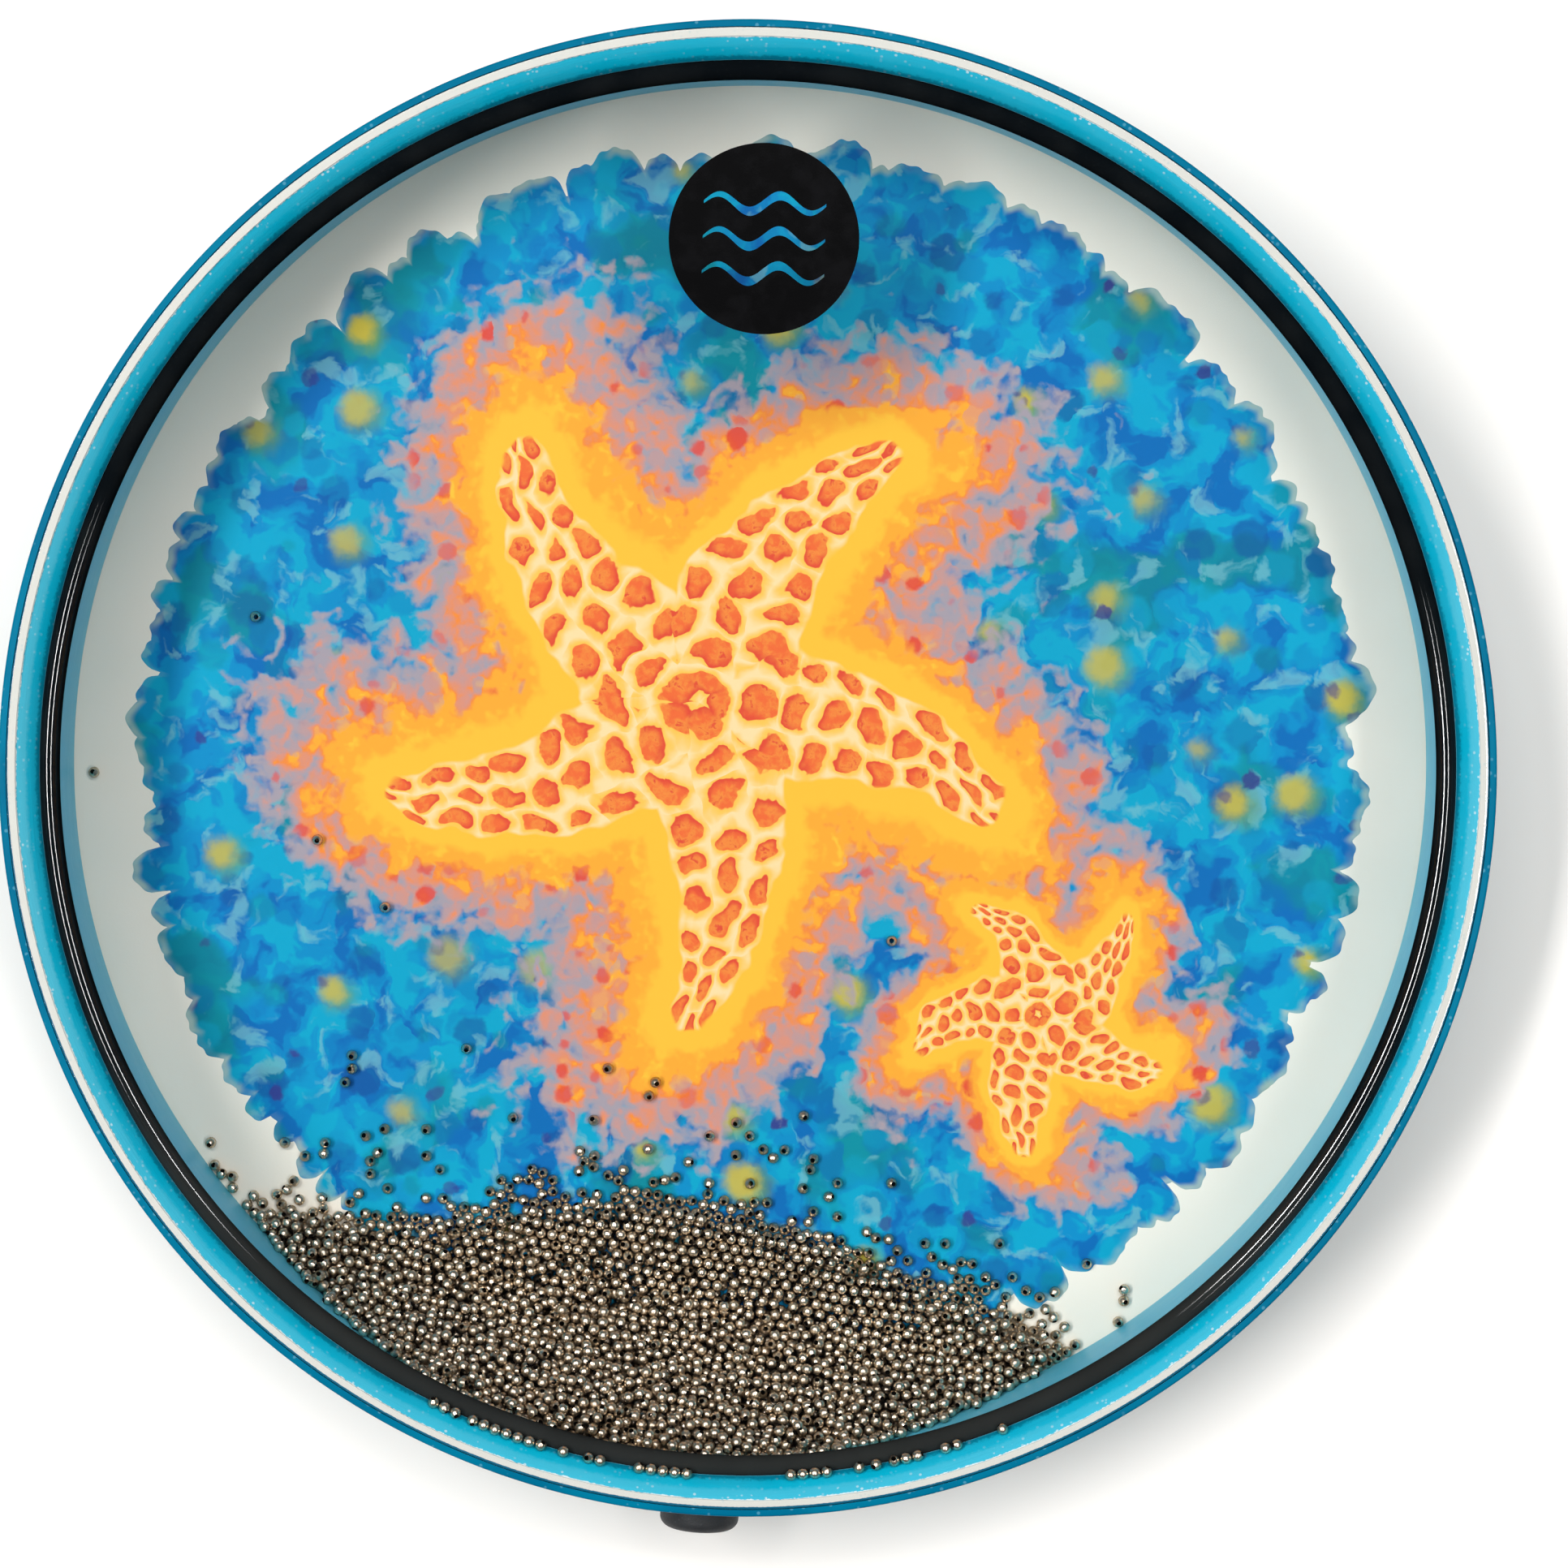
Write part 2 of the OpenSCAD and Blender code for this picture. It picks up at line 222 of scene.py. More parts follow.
class Bench:
    """Adds nodes to one tree in few words."""

    def __init__(self, tree: bpy.types.NodeTree) -> None:
        """Works on the given tree."""
        self.tree = tree

    def feed(self, node: bpy.types.Node, **pins: object) -> None:
        """Links or sets inputs of a node.

        Args:
            node: The node.
            pins: Values of its inputs in use, with an underscore for each space in a name.
        """
        for name, value in pins.items():
            label = name.replace("_", " ")
            plug(self.tree, next(p for p in node.inputs if p.name == label and p.enabled), value)

    def node(self, kind: str, settings: dict | None = None, **pins: object) -> bpy.types.Node:
        """Adds a node.

        Args:
            kind: The node's type.
            settings: Values of the node's own properties.
            pins: Values of its inputs, with an underscore for each space in a name.

        Returns:
            The node.
        """
        made = self.tree.nodes.new(kind)
        for name, value in (settings or {}).items():
            setattr(made, name, value)
        self.feed(made, **pins)
        return made

    def reckon(self, operation: str, *values: object) -> bpy.types.NodeSocket:
        """Adds one Vector Math node.

        Args:
            operation: The node's operation.
            values: What goes into the node, in order.

        Returns:
            The node's first output.
        """
        made = self.node("ShaderNodeVectorMath", {"operation": operation})
        for pin, value in zip(made.inputs, values):
            plug(self.tree, pin, value)
        return made.outputs[0]

    def tone(self, socket: bpy.types.NodeSocket) -> Tone:
        """Wraps an output socket."""
        return Tone(self.tree, socket)

    def kept(self, name: str) -> Tone:
        """A number that the mesh keeps under this name."""
        node = self.node("ShaderNodeAttribute", {"attribute_name": name})
        return self.tone(node.outputs["Fac"])

    def vector(self, x: object, y: object, z: object = 0.0) -> bpy.types.NodeSocket:
        """A vector from three numbers."""
        return self.node("ShaderNodeCombineXYZ", X=x, Y=y, Z=z).outputs[0]

    def parts(self, vector: bpy.types.NodeSocket) -> tuple[Tone, Tone, Tone]:
        """The three numbers of a vector."""
        outputs = self.node("ShaderNodeSeparateXYZ", Vector=vector).outputs
        return self.tone(outputs[0]), self.tone(outputs[1]), self.tone(outputs[2])

    def noise(self, place: bpy.types.NodeSocket, grain: float, detail: float = 2.0,
              rough: float = 0.5, flat: bool = False) -> Tone:
        """Smooth noise.

        Args:
            place: Where it is read.
            grain: Size of its lumps, in the units of place.
            detail: How many finer layers lie on it.
            rough: How strong they are.
            flat: True for noise on a plane.

        Returns:
            The noise, 0 to 1.
        """
        settings = {"noise_dimensions": "2D" if flat else "3D"}
        made = self.node("ShaderNodeTexNoise", settings, Vector=place, Scale=1 / grain,
                         Detail=detail, Roughness=rough)
        return self.tone(made.outputs[0])

    def cells(self, place: bpy.types.NodeSocket, pitch: float,
              loose: float) -> tuple[Tone, bpy.types.NodeSocket]:
        """Scattered cells on a plane.

        Args:
            place: Where they are read.
            pitch: Distance from one cell to the next, in the units of place.
            loose: How unevenly they are scattered.

        Returns:
            The distance to the nearest cell's centre in the units of place, and its random colour.
        """
        node = self.node("ShaderNodeTexVoronoi", {"voronoi_dimensions": "2D"}, Vector=place,
                         Scale=1 / pitch, Randomness=loose)
        return self.tone(node.outputs["Distance"]) * pitch, node.outputs["Color"]

    def draws(self, colour: bpy.types.NodeSocket) -> tuple[Tone, Tone, Tone]:
        """Three random numbers from a random colour."""
        outputs = self.node("ShaderNodeSeparateColor", Color=colour).outputs
        return self.tone(outputs[0]), self.tone(outputs[1]), self.tone(outputs[2])

    def mix(self, share: object, first: object, second: object) -> bpy.types.NodeSocket:
        """Mixes two colours.

        Args:
            share: How much of the second shows, 0 to 1.
            first: The first colour.
            second: The second colour.

        Returns:
            The mixed colour.
        """
        node = self.node("ShaderNodeMix", {"data_type": "RGBA"})
        for index, value in ((0, share), (6, first), (7, second)):
            plug(self.tree, node.inputs[index], value)
        return node.outputs[2]

    def ramp(self, value: Tone, stops: Sequence[tuple[float, Colour]]) -> bpy.types.NodeSocket:
        """Colours along a number.

        Args:
            value: The number, 0 to 1.
            stops: Places along it and their colours.

        Returns:
            The colour.
        """
        node = self.node("ShaderNodeValToRGB", Fac=value)
        elements = node.color_ramp.elements
        while len(elements) < len(stops):
            elements.new(0.5)
        for element, (place, colour) in zip(elements, stops):
            element.position = place
            element.color = (*colour, 1.0)
        return node.outputs[0]

    def nudged(self, place: bpy.types.NodeSocket, by: Tone, reach: float) -> bpy.types.NodeSocket:
        """Moves a place about by a noise, so that shapes read there come out uneven.

        Args:
            place: The place.
            by: The noise, whose node gives a colour too.
            reach: How far it moves at most, to both sides together.

        Returns:
            The moved place.
        """
        colour = by.socket.node.outputs[1]
        middle = self.reckon("SUBTRACT", colour, (0.5, 0.5, 0.5))
        return self.reckon("MULTIPLY_ADD", middle, (reach, reach, reach), place)


class ShaderGroup:
    """A shader node group that several materials share, built once."""

    def __init__(self, name: str, inputs: dict[str, float | None], outputs: dict[str, str]) -> None:
        """Starts the group.

        Args:
            name: The group's name.
            inputs: Names of its inputs with their values, None for a vector.
            outputs: Names of its outputs with their socket types.
        """
        self.tree = bpy.data.node_groups.new(name, "ShaderNodeTree")
        for label, value in inputs.items():
            kind = VECTOR if value is None else NUMBER
            pin = self.tree.interface.new_socket(label, in_out="INPUT", socket_type=kind)
            if value is not None:
                pin.default_value = value
        for label, kind in outputs.items():
            self.tree.interface.new_socket(label, in_out="OUTPUT", socket_type=kind)
        self.bench = Bench(self.tree)
        self.entry = self.tree.nodes.new("NodeGroupInput")
        self.exit = self.tree.nodes.new("NodeGroupOutput")

    def take(self, label: str) -> Tone:
        """An input of the group, seen from inside."""
        return Tone(self.tree, self.entry.outputs[label])

    def give(self, label: str, value: object) -> None:
        """Sets an output of the group from inside."""
        plug(self.tree, self.exit.inputs[label], value)

    def place(self, bench: Bench, **pins: object) -> bpy.types.Node:
        """Puts the group into another tree.

        Args:
            bench: The tree's bench.
            pins: Values of the group's inputs, with an underscore for each space in a name.

        Returns:
            The group's node.
        """
        return bench.node("ShaderNodeGroup", {"node_tree": self.tree}, **pins)


def wear_group() -> ShaderGroup:
    """Small unevenness of a surface from its making and its use.

    Returns:
        A group with a slow mottle, fine grain, small pale flecks and streaks round the drum.
    """
    group = ShaderGroup(
        "handling wear", {"Place": None, "Lump": 0.02, "Grain": 0.0012, "Fleck": 0.0016},
        {"Mottle": NUMBER, "Grain": NUMBER, "Flecks": NUMBER, "Streaks": NUMBER})
    bench = group.bench
    place = group.take("Place").socket
    one = group.take("Lump")

    def layer(size: Tone, detail: float) -> Tone:
        """Noise whose lumps have a size that comes from outside."""
        node = bench.node("ShaderNodeTexNoise", Vector=place, Scale=size ** -1.0, Detail=detail)
        return bench.tone(node.outputs[0])

    group.give("Mottle", layer(one, 3.0).rise(0.3, 0.7))
    group.give("Grain", layer(group.take("Grain"), 2.0))
    spots = bench.node("ShaderNodeTexVoronoi", Vector=place, Scale=group.take("Fleck") ** -1.0)
    chosen = bench.draws(spots.outputs["Color"])[0].rise(0.78, 0.86)
    group.give("Flecks", bench.tone(spots.outputs["Distance"]).rise(0.42, 0.2) * chosen)
    x, y, z = bench.parts(place)
    around = x.math("ARCTAN2", y, x) * 0.2
    radius = x.hypot(y)
    drawn = bench.vector(around * 0.12, radius * 2.0, z * 2.0)
    group.give("Streaks", bench.noise(drawn, 1.6 * MM, 3.0, 0.6))
    return group


def sea_star_group() -> ShaderGroup:
    """A sea star seen from above, as distances and masks on a plane in millimetres.

    Returns:
        A group that tells how far a point lies outside the star and where its plates are.
    """
    group = ShaderGroup(
        "sea star", {"X": 0.0, "Y": 0.0, "Reach": 80.0, "Girth": 15.0, "Tip": 5.0, "Turn": 0.0,
                     "Curl": 0.4, "Plate": 10.0},
        {"Outside": NUMBER, "Plates": NUMBER, "Rim": NUMBER, "Glow": NUMBER})
    bench = group.bench
    x, y = group.take("X"), group.take("Y")
    reach, pitch = group.take("Reach"), group.take("Plate")
    arms = 5
    rows = 1.45
    sector = FULL_TURN / arms
    radius = x.hypot(y)
    heading = x.math("ARCTAN2", y, x) + group.take("Turn") + group.take("Curl") * radius / reach
    arm = heading.math("ROUND", heading / sector)
    aside = heading - arm * sector
    along = radius * aside.math("COSINE", aside)
    across = radius * aside.math("SINE", aside)
    taper = (along / reach).flipped().most(0.0) ** 0.85
    half = group.take("Girth") * taper + group.take("Tip")
    past = (along - reach).most(0.0)
    group.give("Outside", past.hypot(across) - half)
    side = across / half
    row = side.math("ROUND", side * rows)
    off = side - row / rows
    steps = along / pitch + row.size() * 0.5
    count = steps.math("FLOOR", steps)
    chance = bench.node("ShaderNodeTexWhiteNoise", {"noise_dimensions": "3D"},
                        Vector=bench.vector(count, arm, row))
    first, second, third = bench.draws(chance.outputs["Color"])
    forth = steps - count - 0.5 + (first - 0.5) * 0.14
    wide = forth / (second * 0.12 + 0.3)
    high = off / (third * 0.06 + 0.22)
    wobble = bench.noise(bench.vector(x, y), 5.0, flat=True)
    oval = wide.hypot(high) + (wobble - 0.5) * 0.9
    group.give("Plates", oval.rise(1.04, 0.94))
    group.give("Rim", oval.rise(0.35, 0.95) * wide.rise(0.5, -0.6))
    group.give("Glow", oval.rise(1.75, 1.05))
    return group


@dataclass(frozen=True)
class PrintColours:
    """The inks of the print, each a wash of its own."""

    cyan: Colour = srgb(0, 156, 192)
    sky: Colour = srgb(0, 134, 188)
    sea: Colour = srgb(0, 102, 172)
    deep: Colour = srgb(8, 76, 146)
    teal: Colour = srgb(0, 128, 136)
    aqua: Colour = srgb(112, 180, 190)
    wash: Colour = srgb(166, 188, 180)
    olive: Colour = srgb(96, 146, 84)
    lemon: Colour = srgb(196, 176, 62)
    violet: Colour = srgb(52, 46, 124)
    yellow: Colour = srgb(242, 186, 58)
    amber: Colour = srgb(240, 164, 52)
    orange: Colour = srgb(232, 134, 60)
    rose: Colour = srgb(206, 140, 122)
    dusk: Colour = srgb(158, 150, 160)
    peach: Colour = srgb(238, 212, 158)
    coral: Colour = srgb(230, 104, 54)
    red: Colour = srgb(214, 66, 52)


@dataclass(frozen=True)
class Star:
    """Where a printed sea star lies and how large it is, in millimetres."""

    x: float
    y: float
    reach: float
    girth: float
    tip: float
    turn: float
    curl: float
    plate: float
    halo: float


STARS = (
    Star(x=-16, y=16, reach=86, girth=17, tip=6.5, turn=math.radians(-82), curl=0.42, plate=11,
         halo=1.0),
    Star(x=88, y=-66, reach=35, girth=8, tip=3.6, turn=math.radians(-20), curl=-0.5, plate=5.4,
         halo=0.5),
)


def print_group(star_group: ShaderGroup, inks: PrintColours) -> ShaderGroup:
    """The drum's print: washes and daubs of blue with sea stars in warm halos.

    Args:
        star_group: The group that draws one star.
        inks: The colours.

    Returns:
        A group that gives the print's colour at a place in the drum's frame.
    """
    group = ShaderGroup("sea print", {"Place": None}, {"Ink": TINT})
    bench = group.bench
    scaled = bench.node("ShaderNodeVectorMath", {"operation": "SCALE"}, Scale=1 / MM,
                        Vector=group.take("Place").socket).outputs[0]
    slow = bench.noise(scaled, 17.0, flat=True)
    quick = bench.noise(scaled, 5.0, 3.0, 0.6, flat=True)
    bent = bench.nudged(bench.nudged(scaled, slow, 16.0), quick, 3.0)
    soft = bench.nudged(scaled, quick, 3.5)

    depth = bench.noise(bent, 15.0, 3.0, 0.55, flat=True)
    ink = bench.ramp(depth.rise(0.24, 0.76), (
        (0.0, inks.cyan), (0.3, inks.cyan), (0.45, inks.sky), (0.62, inks.sky), (0.8, inks.sea),
        (1.0, inks.sea)))
    green = bench.noise(bent, 42.0, flat=True).rise(0.56, 0.68)
    ink = bench.mix(green * 0.75, ink, inks.teal)

    def daub(under: bpy.types.NodeSocket, pitch: float, low: float, high: float, chosen: float,
             strength: float, colour: object, edge: float = 1.2,
             shift: float = 0.0) -> bpy.types.NodeSocket:
        """Lays round daubs of one ink over what is there.

        Args:
            under: The colour so far.
            pitch: Distance from one daub to the next.
            low: The smallest daub's radius.
            high: The largest daub's radius.
            chosen: Share of the places that get none.
            strength: How strongly the ink covers.
            colour: The ink.
            edge: Width of the daub's soft edge.
            shift: Moves the whole scatter, so that layers differ.

        Returns:
            The colour with the daubs on it.
        """
        moved = bench.reckon("ADD", soft, (shift, -0.7 * shift, 0.0))
        far, chance = bench.cells(moved, pitch, 0.9)
        first, second, third = bench.draws(chance)
        radius = second * (high - low) + low
        cover = (radius - far).rise(0.0, edge) * first.over(chosen) * (third * 0.5 + 0.5)
        return bench.mix(cover * strength, under, colour)

    ink = daub(ink, 13.0, 3.5, 7.0, 0.35, 0.55, inks.sea, 1.6, 31.0)
    ink = daub(ink, 15.0, 3.0, 7.5, 0.4, 0.6, inks.cyan, 2.2, 57.0)
    ink = daub(ink, 19.0, 3.0, 6.5, 0.45, 0.7, inks.deep, 1.8, 83.0)
    ink = daub(ink, 23.0, 2.5, 6.0, 0.5, 0.6, inks.teal, 2.5, 103.0)
    pale = bench.noise(bent, 10.0, 3.0, flat=True).rise(0.58, 0.7)
    ink = bench.mix(pale * 0.6, ink, inks.aqua)
    ink = daub(ink, 31.0, 6.0, 9.5, 0.42, 0.85, inks.olive, 5.5, 11.0)
    ink = daub(ink, 31.0, 4.0, 7.4, 0.42, 0.95, inks.lemon, 4.6, 12.5)
    ink = daub(ink, 31.0, 1.4, 3.2, 0.66, 0.75, inks.violet, 1.6, 15.0)
    ink = daub(ink, 25.0, 1.6, 3.2, 0.55, 0.9, inks.violet, 1.2, 47.0)

    x, y, _ = bench.parts(bench.nudged(scaled, slow, 9.0))
    drawn = []
    for star in STARS:
        node = star_group.place(bench, X=x - star.x, Y=y - star.y, Reach=star.reach,
                                Girth=star.girth, Tip=star.tip, Turn=star.turn, Curl=star.curl,
                                Plate=star.plate)
        drawn.append([bench.tone(output) for output in node.outputs])
    near = (drawn[0][0] / STARS[0].halo).least(drawn[1][0] / STARS[1].halo)
    ragged = bench.noise(bent, 8.5, 1.5, flat=True) - 0.5
    fine = bench.noise(soft, 3.4, 1.5, flat=True) - 0.5
    spread = near + ragged * near.rise(2.0, 24.0) * 46.0 + fine * near.rise(2.0, 14.0) * 14.0
    halo = bench.ramp(spread / 48.0, (
        (0.0, inks.yellow), (0.12, inks.yellow), (0.2, inks.amber), (0.3, inks.amber),
        (0.38, inks.orange), (0.48, inks.rose), (0.6, inks.dusk), (0.76, inks.dusk),
        (0.9, inks.aqua)))
    ink = bench.mix(spread.rise(41.0, 30.0), ink, halo)
    dabbed = daub(ink, 7.5, 2.2, 4.6, 0.3, 0.7, inks.rose, 1.4, 21.0)
    dabbed = daub(dabbed, 6.5, 1.8, 3.8, 0.5, 0.7, inks.dusk, 1.2, 37.0)
    dabbed = daub(dabbed, 9.0, 1.6, 3.8, 0.62, 0.9, inks.red, 1.4, 71.0)
    reach = near + ragged * 16.0
    ink = bench.mix(reach.rise(13.0, 18.0) * reach.rise(36.0, 28.0), ink, dabbed)

    for outside, plates, rim, glow in drawn:
        body = bench.mix(glow * 0.85, inks.peach, inks.yellow)
        pigment = bench.noise(soft, 4.0, 3.0, 0.6, flat=True)
        plate = bench.mix(pigment.rise(0.62, 0.36), inks.orange, inks.coral)
        plate = bench.mix(rim.most(pigment.rise(0.6, 0.72)) * 0.9, plate, inks.red)
        body = bench.mix(plates, body, plate)
        ink = bench.mix(outside.rise(0.7, -0.7), ink, body)
    group.give("Ink", ink)
    return group


# Finishes


class MaterialBench(Bench):
    """The bench of one material, with its Principled shader."""

    def __init__(self, name: str) -> None:
        """Starts the material.

        Args:
            name: The material's name.
        """
        self.material = bpy.data.materials.new(name)
        self.material.use_nodes = True
        super().__init__(self.material.node_tree)
        self.shader = self.tree.nodes["Principled BSDF"]
        self.place = self.node("ShaderNodeTexCoord").outputs["Object"]

    def coat(self, **pins: object) -> None:
        """Links or sets inputs of the Principled shader."""
        self.feed(self.shader, **pins)

    def bump(self, height: Tone, depth: float) -> None:
        """Raises the surface by a height of 0 to 1, where 1 is this depth in metres."""
        node = self.node("ShaderNodeBump", Height=height, Distance=depth, Strength=1.0)
        self.coat(Normal=node.outputs[0])

    def worn(self, wear: ShaderGroup, lump: float, grain: float,
             fleck: float) -> tuple[Tone, ...]:
        """Reads the wear of the surface.

        Args:
            wear: The shared wear group.
            lump: Size of the slow mottle's patches, in metres.
            grain: Size of the grain.
            fleck: Distance between flecks.

        Returns:
            The mottle, the grain, the flecks and the streaks.
        """
        node = wear.place(self, Place=self.place, Lump=lump, Grain=grain, Fleck=fleck)
        return tuple(self.tone(output) for output in node.outputs)


@dataclass(frozen=True)
class Finish:
    """What every finish has: its slot, its roughness and its gloss."""

    slot: Slot
    rough: float = 0.5
    gloss: float = 0.5

    def bench(self) -> tuple[MaterialBench, bpy.types.NodeSocket]:
        """Starts the finish's material.

        Returns:
            The material's bench and its Object coordinates.
        """
        bench = MaterialBench(self.slot.value)
        bench.coat(Roughness=self.rough, Specular_IOR_Level=self.gloss)
        return bench, bench.place


@dataclass(frozen=True)
class ShellPaint(Finish):
    """Turquoise paint on the turned shell, with pale flecks near the crest; on the bevel a painted
    sheen, a painted highlight and painted shade at its foot; the inner wall painted paler as a
    reflection.
    """

    slot: Slot = Slot.PAINT
    rough: float = 0.34
    gloss: float = 0.1
    body: Colour = srgb(0, 176, 208)
    light: Colour = srgb(88, 194, 218)
    shade: Colour = srgb(0, 112, 140)
    inner: Colour = srgb(110, 206, 234)
    fleck: Colour = srgb(236, 242, 240)
    crest_r: float = 198.55 * MM
    wall_r: float = 193.0 * MM
    foot_z: float = 56.85 * MM
    sheen_side_y: tuple[float, float] = (110 * MM, 50 * MM)
    sheen_low_y: tuple[float, float] = (20 * MM, -100 * MM)

    def build(self, wear: ShaderGroup) -> bpy.types.Material:
        """Makes the material.

        Args:
            wear: The shared wear group.

        Returns:
            The material.
        """
        bench, place = self.bench()
        mottle, grain, flecks, streaks = bench.worn(wear, 16 * MM, 0.9 * MM, 1.3 * MM)
        x, y, z = bench.parts(place)
        radius = x.hypot(y)
        step = 0.2 * MM
        rise = (radius - self.wall_r) / (self.crest_r - self.wall_r)
        jag = (grain - 0.5) * 0.5 + (mottle - 0.5) * 0.12
        paint = bench.mix(mottle * 0.12, self.body, self.light)
        # Painted sheen: the bevel's outer half is painted paler, most at the left and right sides
        # and less at the bottom, standing in for the lamps' gleam on the satin paint.
        sheen_share = y.size().rise(*self.sheen_side_y) * 0.5 + y.rise(*self.sheen_low_y) * 0.3 + 0.18
        rubbed_and_sheen = (rise + jag * 0.4).rise(0.46, 0.64) * sheen_share
        paint = bench.mix(rubbed_and_sheen, paint, self.light)
        # Painted shade: the bevel is painted darker toward its foot, beside the cord.
        paint = bench.mix((rise + jag * 0.5).rise(0.24, 0.08) * 0.8, paint, self.shade)
        # Painted highlight: a white line along the crest's inner edge, in the fleck colour.
        paint = bench.mix((rise + jag * 0.3).rise(0.95, 0.99) * 0.9, paint, self.fleck)
        on_bevel = z.rise(self.foot_z - step, self.foot_z) * radius.rise(
            self.crest_r + 0.4 * MM, self.crest_r + 0.1 * MM)
        # Painted reflection: the inner wall below the bevel is painted paler, for the pale rear
        # head it reflects.
        within = z.rise(self.foot_z, self.foot_z - step) * radius.rise(
            self.wall_r + 0.9 * MM, self.wall_r + 0.5 * MM)
        outer = bench.mix(streaks.rise(0.35, 0.7) * 0.4, self.body, self.light)
        colour = bench.mix(on_bevel, outer, paint)
        colour = bench.mix(within, colour, bench.mix(streaks * 0.5, self.inner, self.body))
        pale = flecks * (on_bevel * rise.rise(0.5, 1.0) * 0.5 + 0.08)
        colour = bench.mix(pale.least(1.0), colour, self.fleck)
        bench.coat(Base_Color=colour, Roughness=streaks * 0.16 + (self.rough - 0.08))
        bench.bump(streaks * 0.7 + grain * 0.3, 0.12 * MM)
        return bench.material


@dataclass(frozen=True)
class BeddingTape(Finish):
    """Cream tape on the crest, a little soiled, dark blue along its outer edge: blue paint there,
    darkened as painted shade of the gap at the hoop.
    """

    slot: Slot = Slot.TAPE
    rough: float = 0.55
    gloss: float = 0.2
    cream: Colour = srgb(209, 209, 202)
    soiled: Colour = srgb(192, 193, 185)
    blue: Colour = srgb(120, 176, 190)
    edge_paint_and_shade: Colour = srgb(0, 92, 122)
    edge_paint_and_shade_r: float = 200.5 * MM
    edge_shift: float = 0.3 * MM

    def build(self, wear: ShaderGroup) -> bpy.types.Material:
        """Makes the material.

        Args:
            wear: The shared wear group.

        Returns:
            The material.
        """
        bench, place = self.bench()
        mottle, grain, flecks, streaks = bench.worn(wear, 9 * MM, 0.8 * MM, 1.1 * MM)
        colour = bench.mix(streaks.rise(0.45, 0.8) * 0.12, self.cream, self.soiled)
        colour = bench.mix(flecks * mottle * 0.25, colour, self.blue)
        # Outer edge: blue paint, darkened as painted shade of the gap at the hoop; its ring is
        # shifted a little along Y.
        x, y, _ = bench.parts(place)
        y = y - self.edge_shift
        radius = x.hypot(y) + (grain - 0.5) * (0.3 * MM)
        painted = radius.rise(self.edge_paint_and_shade_r, self.edge_paint_and_shade_r + 0.1 * MM)
        bench.coat(Base_Color=bench.mix(painted, colour, self.edge_paint_and_shade))
        bench.bump(grain, 0.03 * MM)
        return bench.material


@dataclass(frozen=True)
class HoopPlastic(Finish):
    """Blue trim band with fine rubbing marks round the drum."""

    slot: Slot = Slot.HOOP
    rough: float = 0.3
    gloss: float = 0.02
    body: Colour = srgb(0, 102, 136)
    light: Colour = srgb(0, 124, 156)
    rubbed_and_sheen: Colour = srgb(120, 186, 208)

    def build(self, wear: ShaderGroup) -> bpy.types.Material:
        """Makes the material.

        Args:
            wear: The shared wear group.

        Returns:
            The material.
        """
        bench, _ = self.bench()
        mottle, grain, flecks, streaks = bench.worn(wear, 24 * MM, 1.0 * MM, 1.5 * MM)
        colour = bench.mix(mottle * 0.6, self.body, self.light)
        colour = bench.mix(flecks * 0.35, colour, self.rubbed_and_sheen)
        bench.coat(Base_Color=colour, Roughness=streaks * 0.25 + (self.rough - 0.1))
        bench.bump(streaks * 0.6 + grain * 0.4, 0.06 * MM)
        return bench.material


@dataclass(frozen=True)
class ClearFilm(Finish):
    """Clear film: nothing shows of it but its gloss, on the side where light enters the film."""

    slot: Slot = Slot.CLEAR_FILM
    rough: float = 0.03
    ior: float = 1.5
    body: Colour = srgb(255, 255, 255)
    bend_r: float = 200.2 * MM

    def build(self) -> bpy.types.Material:
        """Makes the material.

        Returns:
            The material.
        """
        bench, place = self.bench()
        haze = bench.noise(place, 40 * MM, 0.0)
        mirrored = bench.tone(bench.node("ShaderNodeFresnel", IOR=self.ior).outputs[0])
        behind = bench.tone(bench.node("ShaderNodeNewGeometry").outputs["Backfacing"])
        x, y, _ = bench.parts(place)
        dulled = x.hypot(y).rise(self.bend_r, self.bend_r + 0.3 * MM)
        bench.coat(Base_Color=self.body, Metallic=1.0, Roughness=haze * 0.02 + self.rough,
                   Alpha=mirrored * behind.flipped() * (dulled * -0.8 + 1.0))
        return bench.material


@dataclass(frozen=True)
class MilkyFilm(Finish):
    """Milky film of the rear head. From behind, the print shows through it faintly."""

    slot: Slot = Slot.MILKY_FILM
    rough: float = 0.42
    gloss: float = 0.2
    body: Colour = srgb(243, 236, 222)
    cool: Colour = srgb(234, 231, 218)
    print_r: float = 176 * MM
    daub_size: float = 9 * MM
    film_t: float = 0.25 * MM

    def build(self, sea: ShaderGroup) -> bpy.types.Material:
        """Makes the material.

        Args:
            sea: The print's group.

        Returns:
            The material.
        """
        bench, place = self.bench()
        cloud = bench.noise(place, 60 * MM)
        colour = bench.mix(cloud.rise(0.3, 0.7), self.body, self.cool)
        x, y, z = bench.parts(place)
        ragged = (bench.noise(place, self.daub_size) - 0.5) * self.daub_size
        behind = z.rise(0.6 * self.film_t, 0.4 * self.film_t)
        through = (x.hypot(y) + ragged).rise(self.print_r, self.print_r - 3 * MM)
        ink = sea.place(bench, Place=place).outputs[0]
        bench.coat(Base_Color=bench.mix(through * behind * 0.42, colour, ink))
        bench.bump(bench.noise(place, 0.7 * MM), 0.02 * MM)
        return bench.material


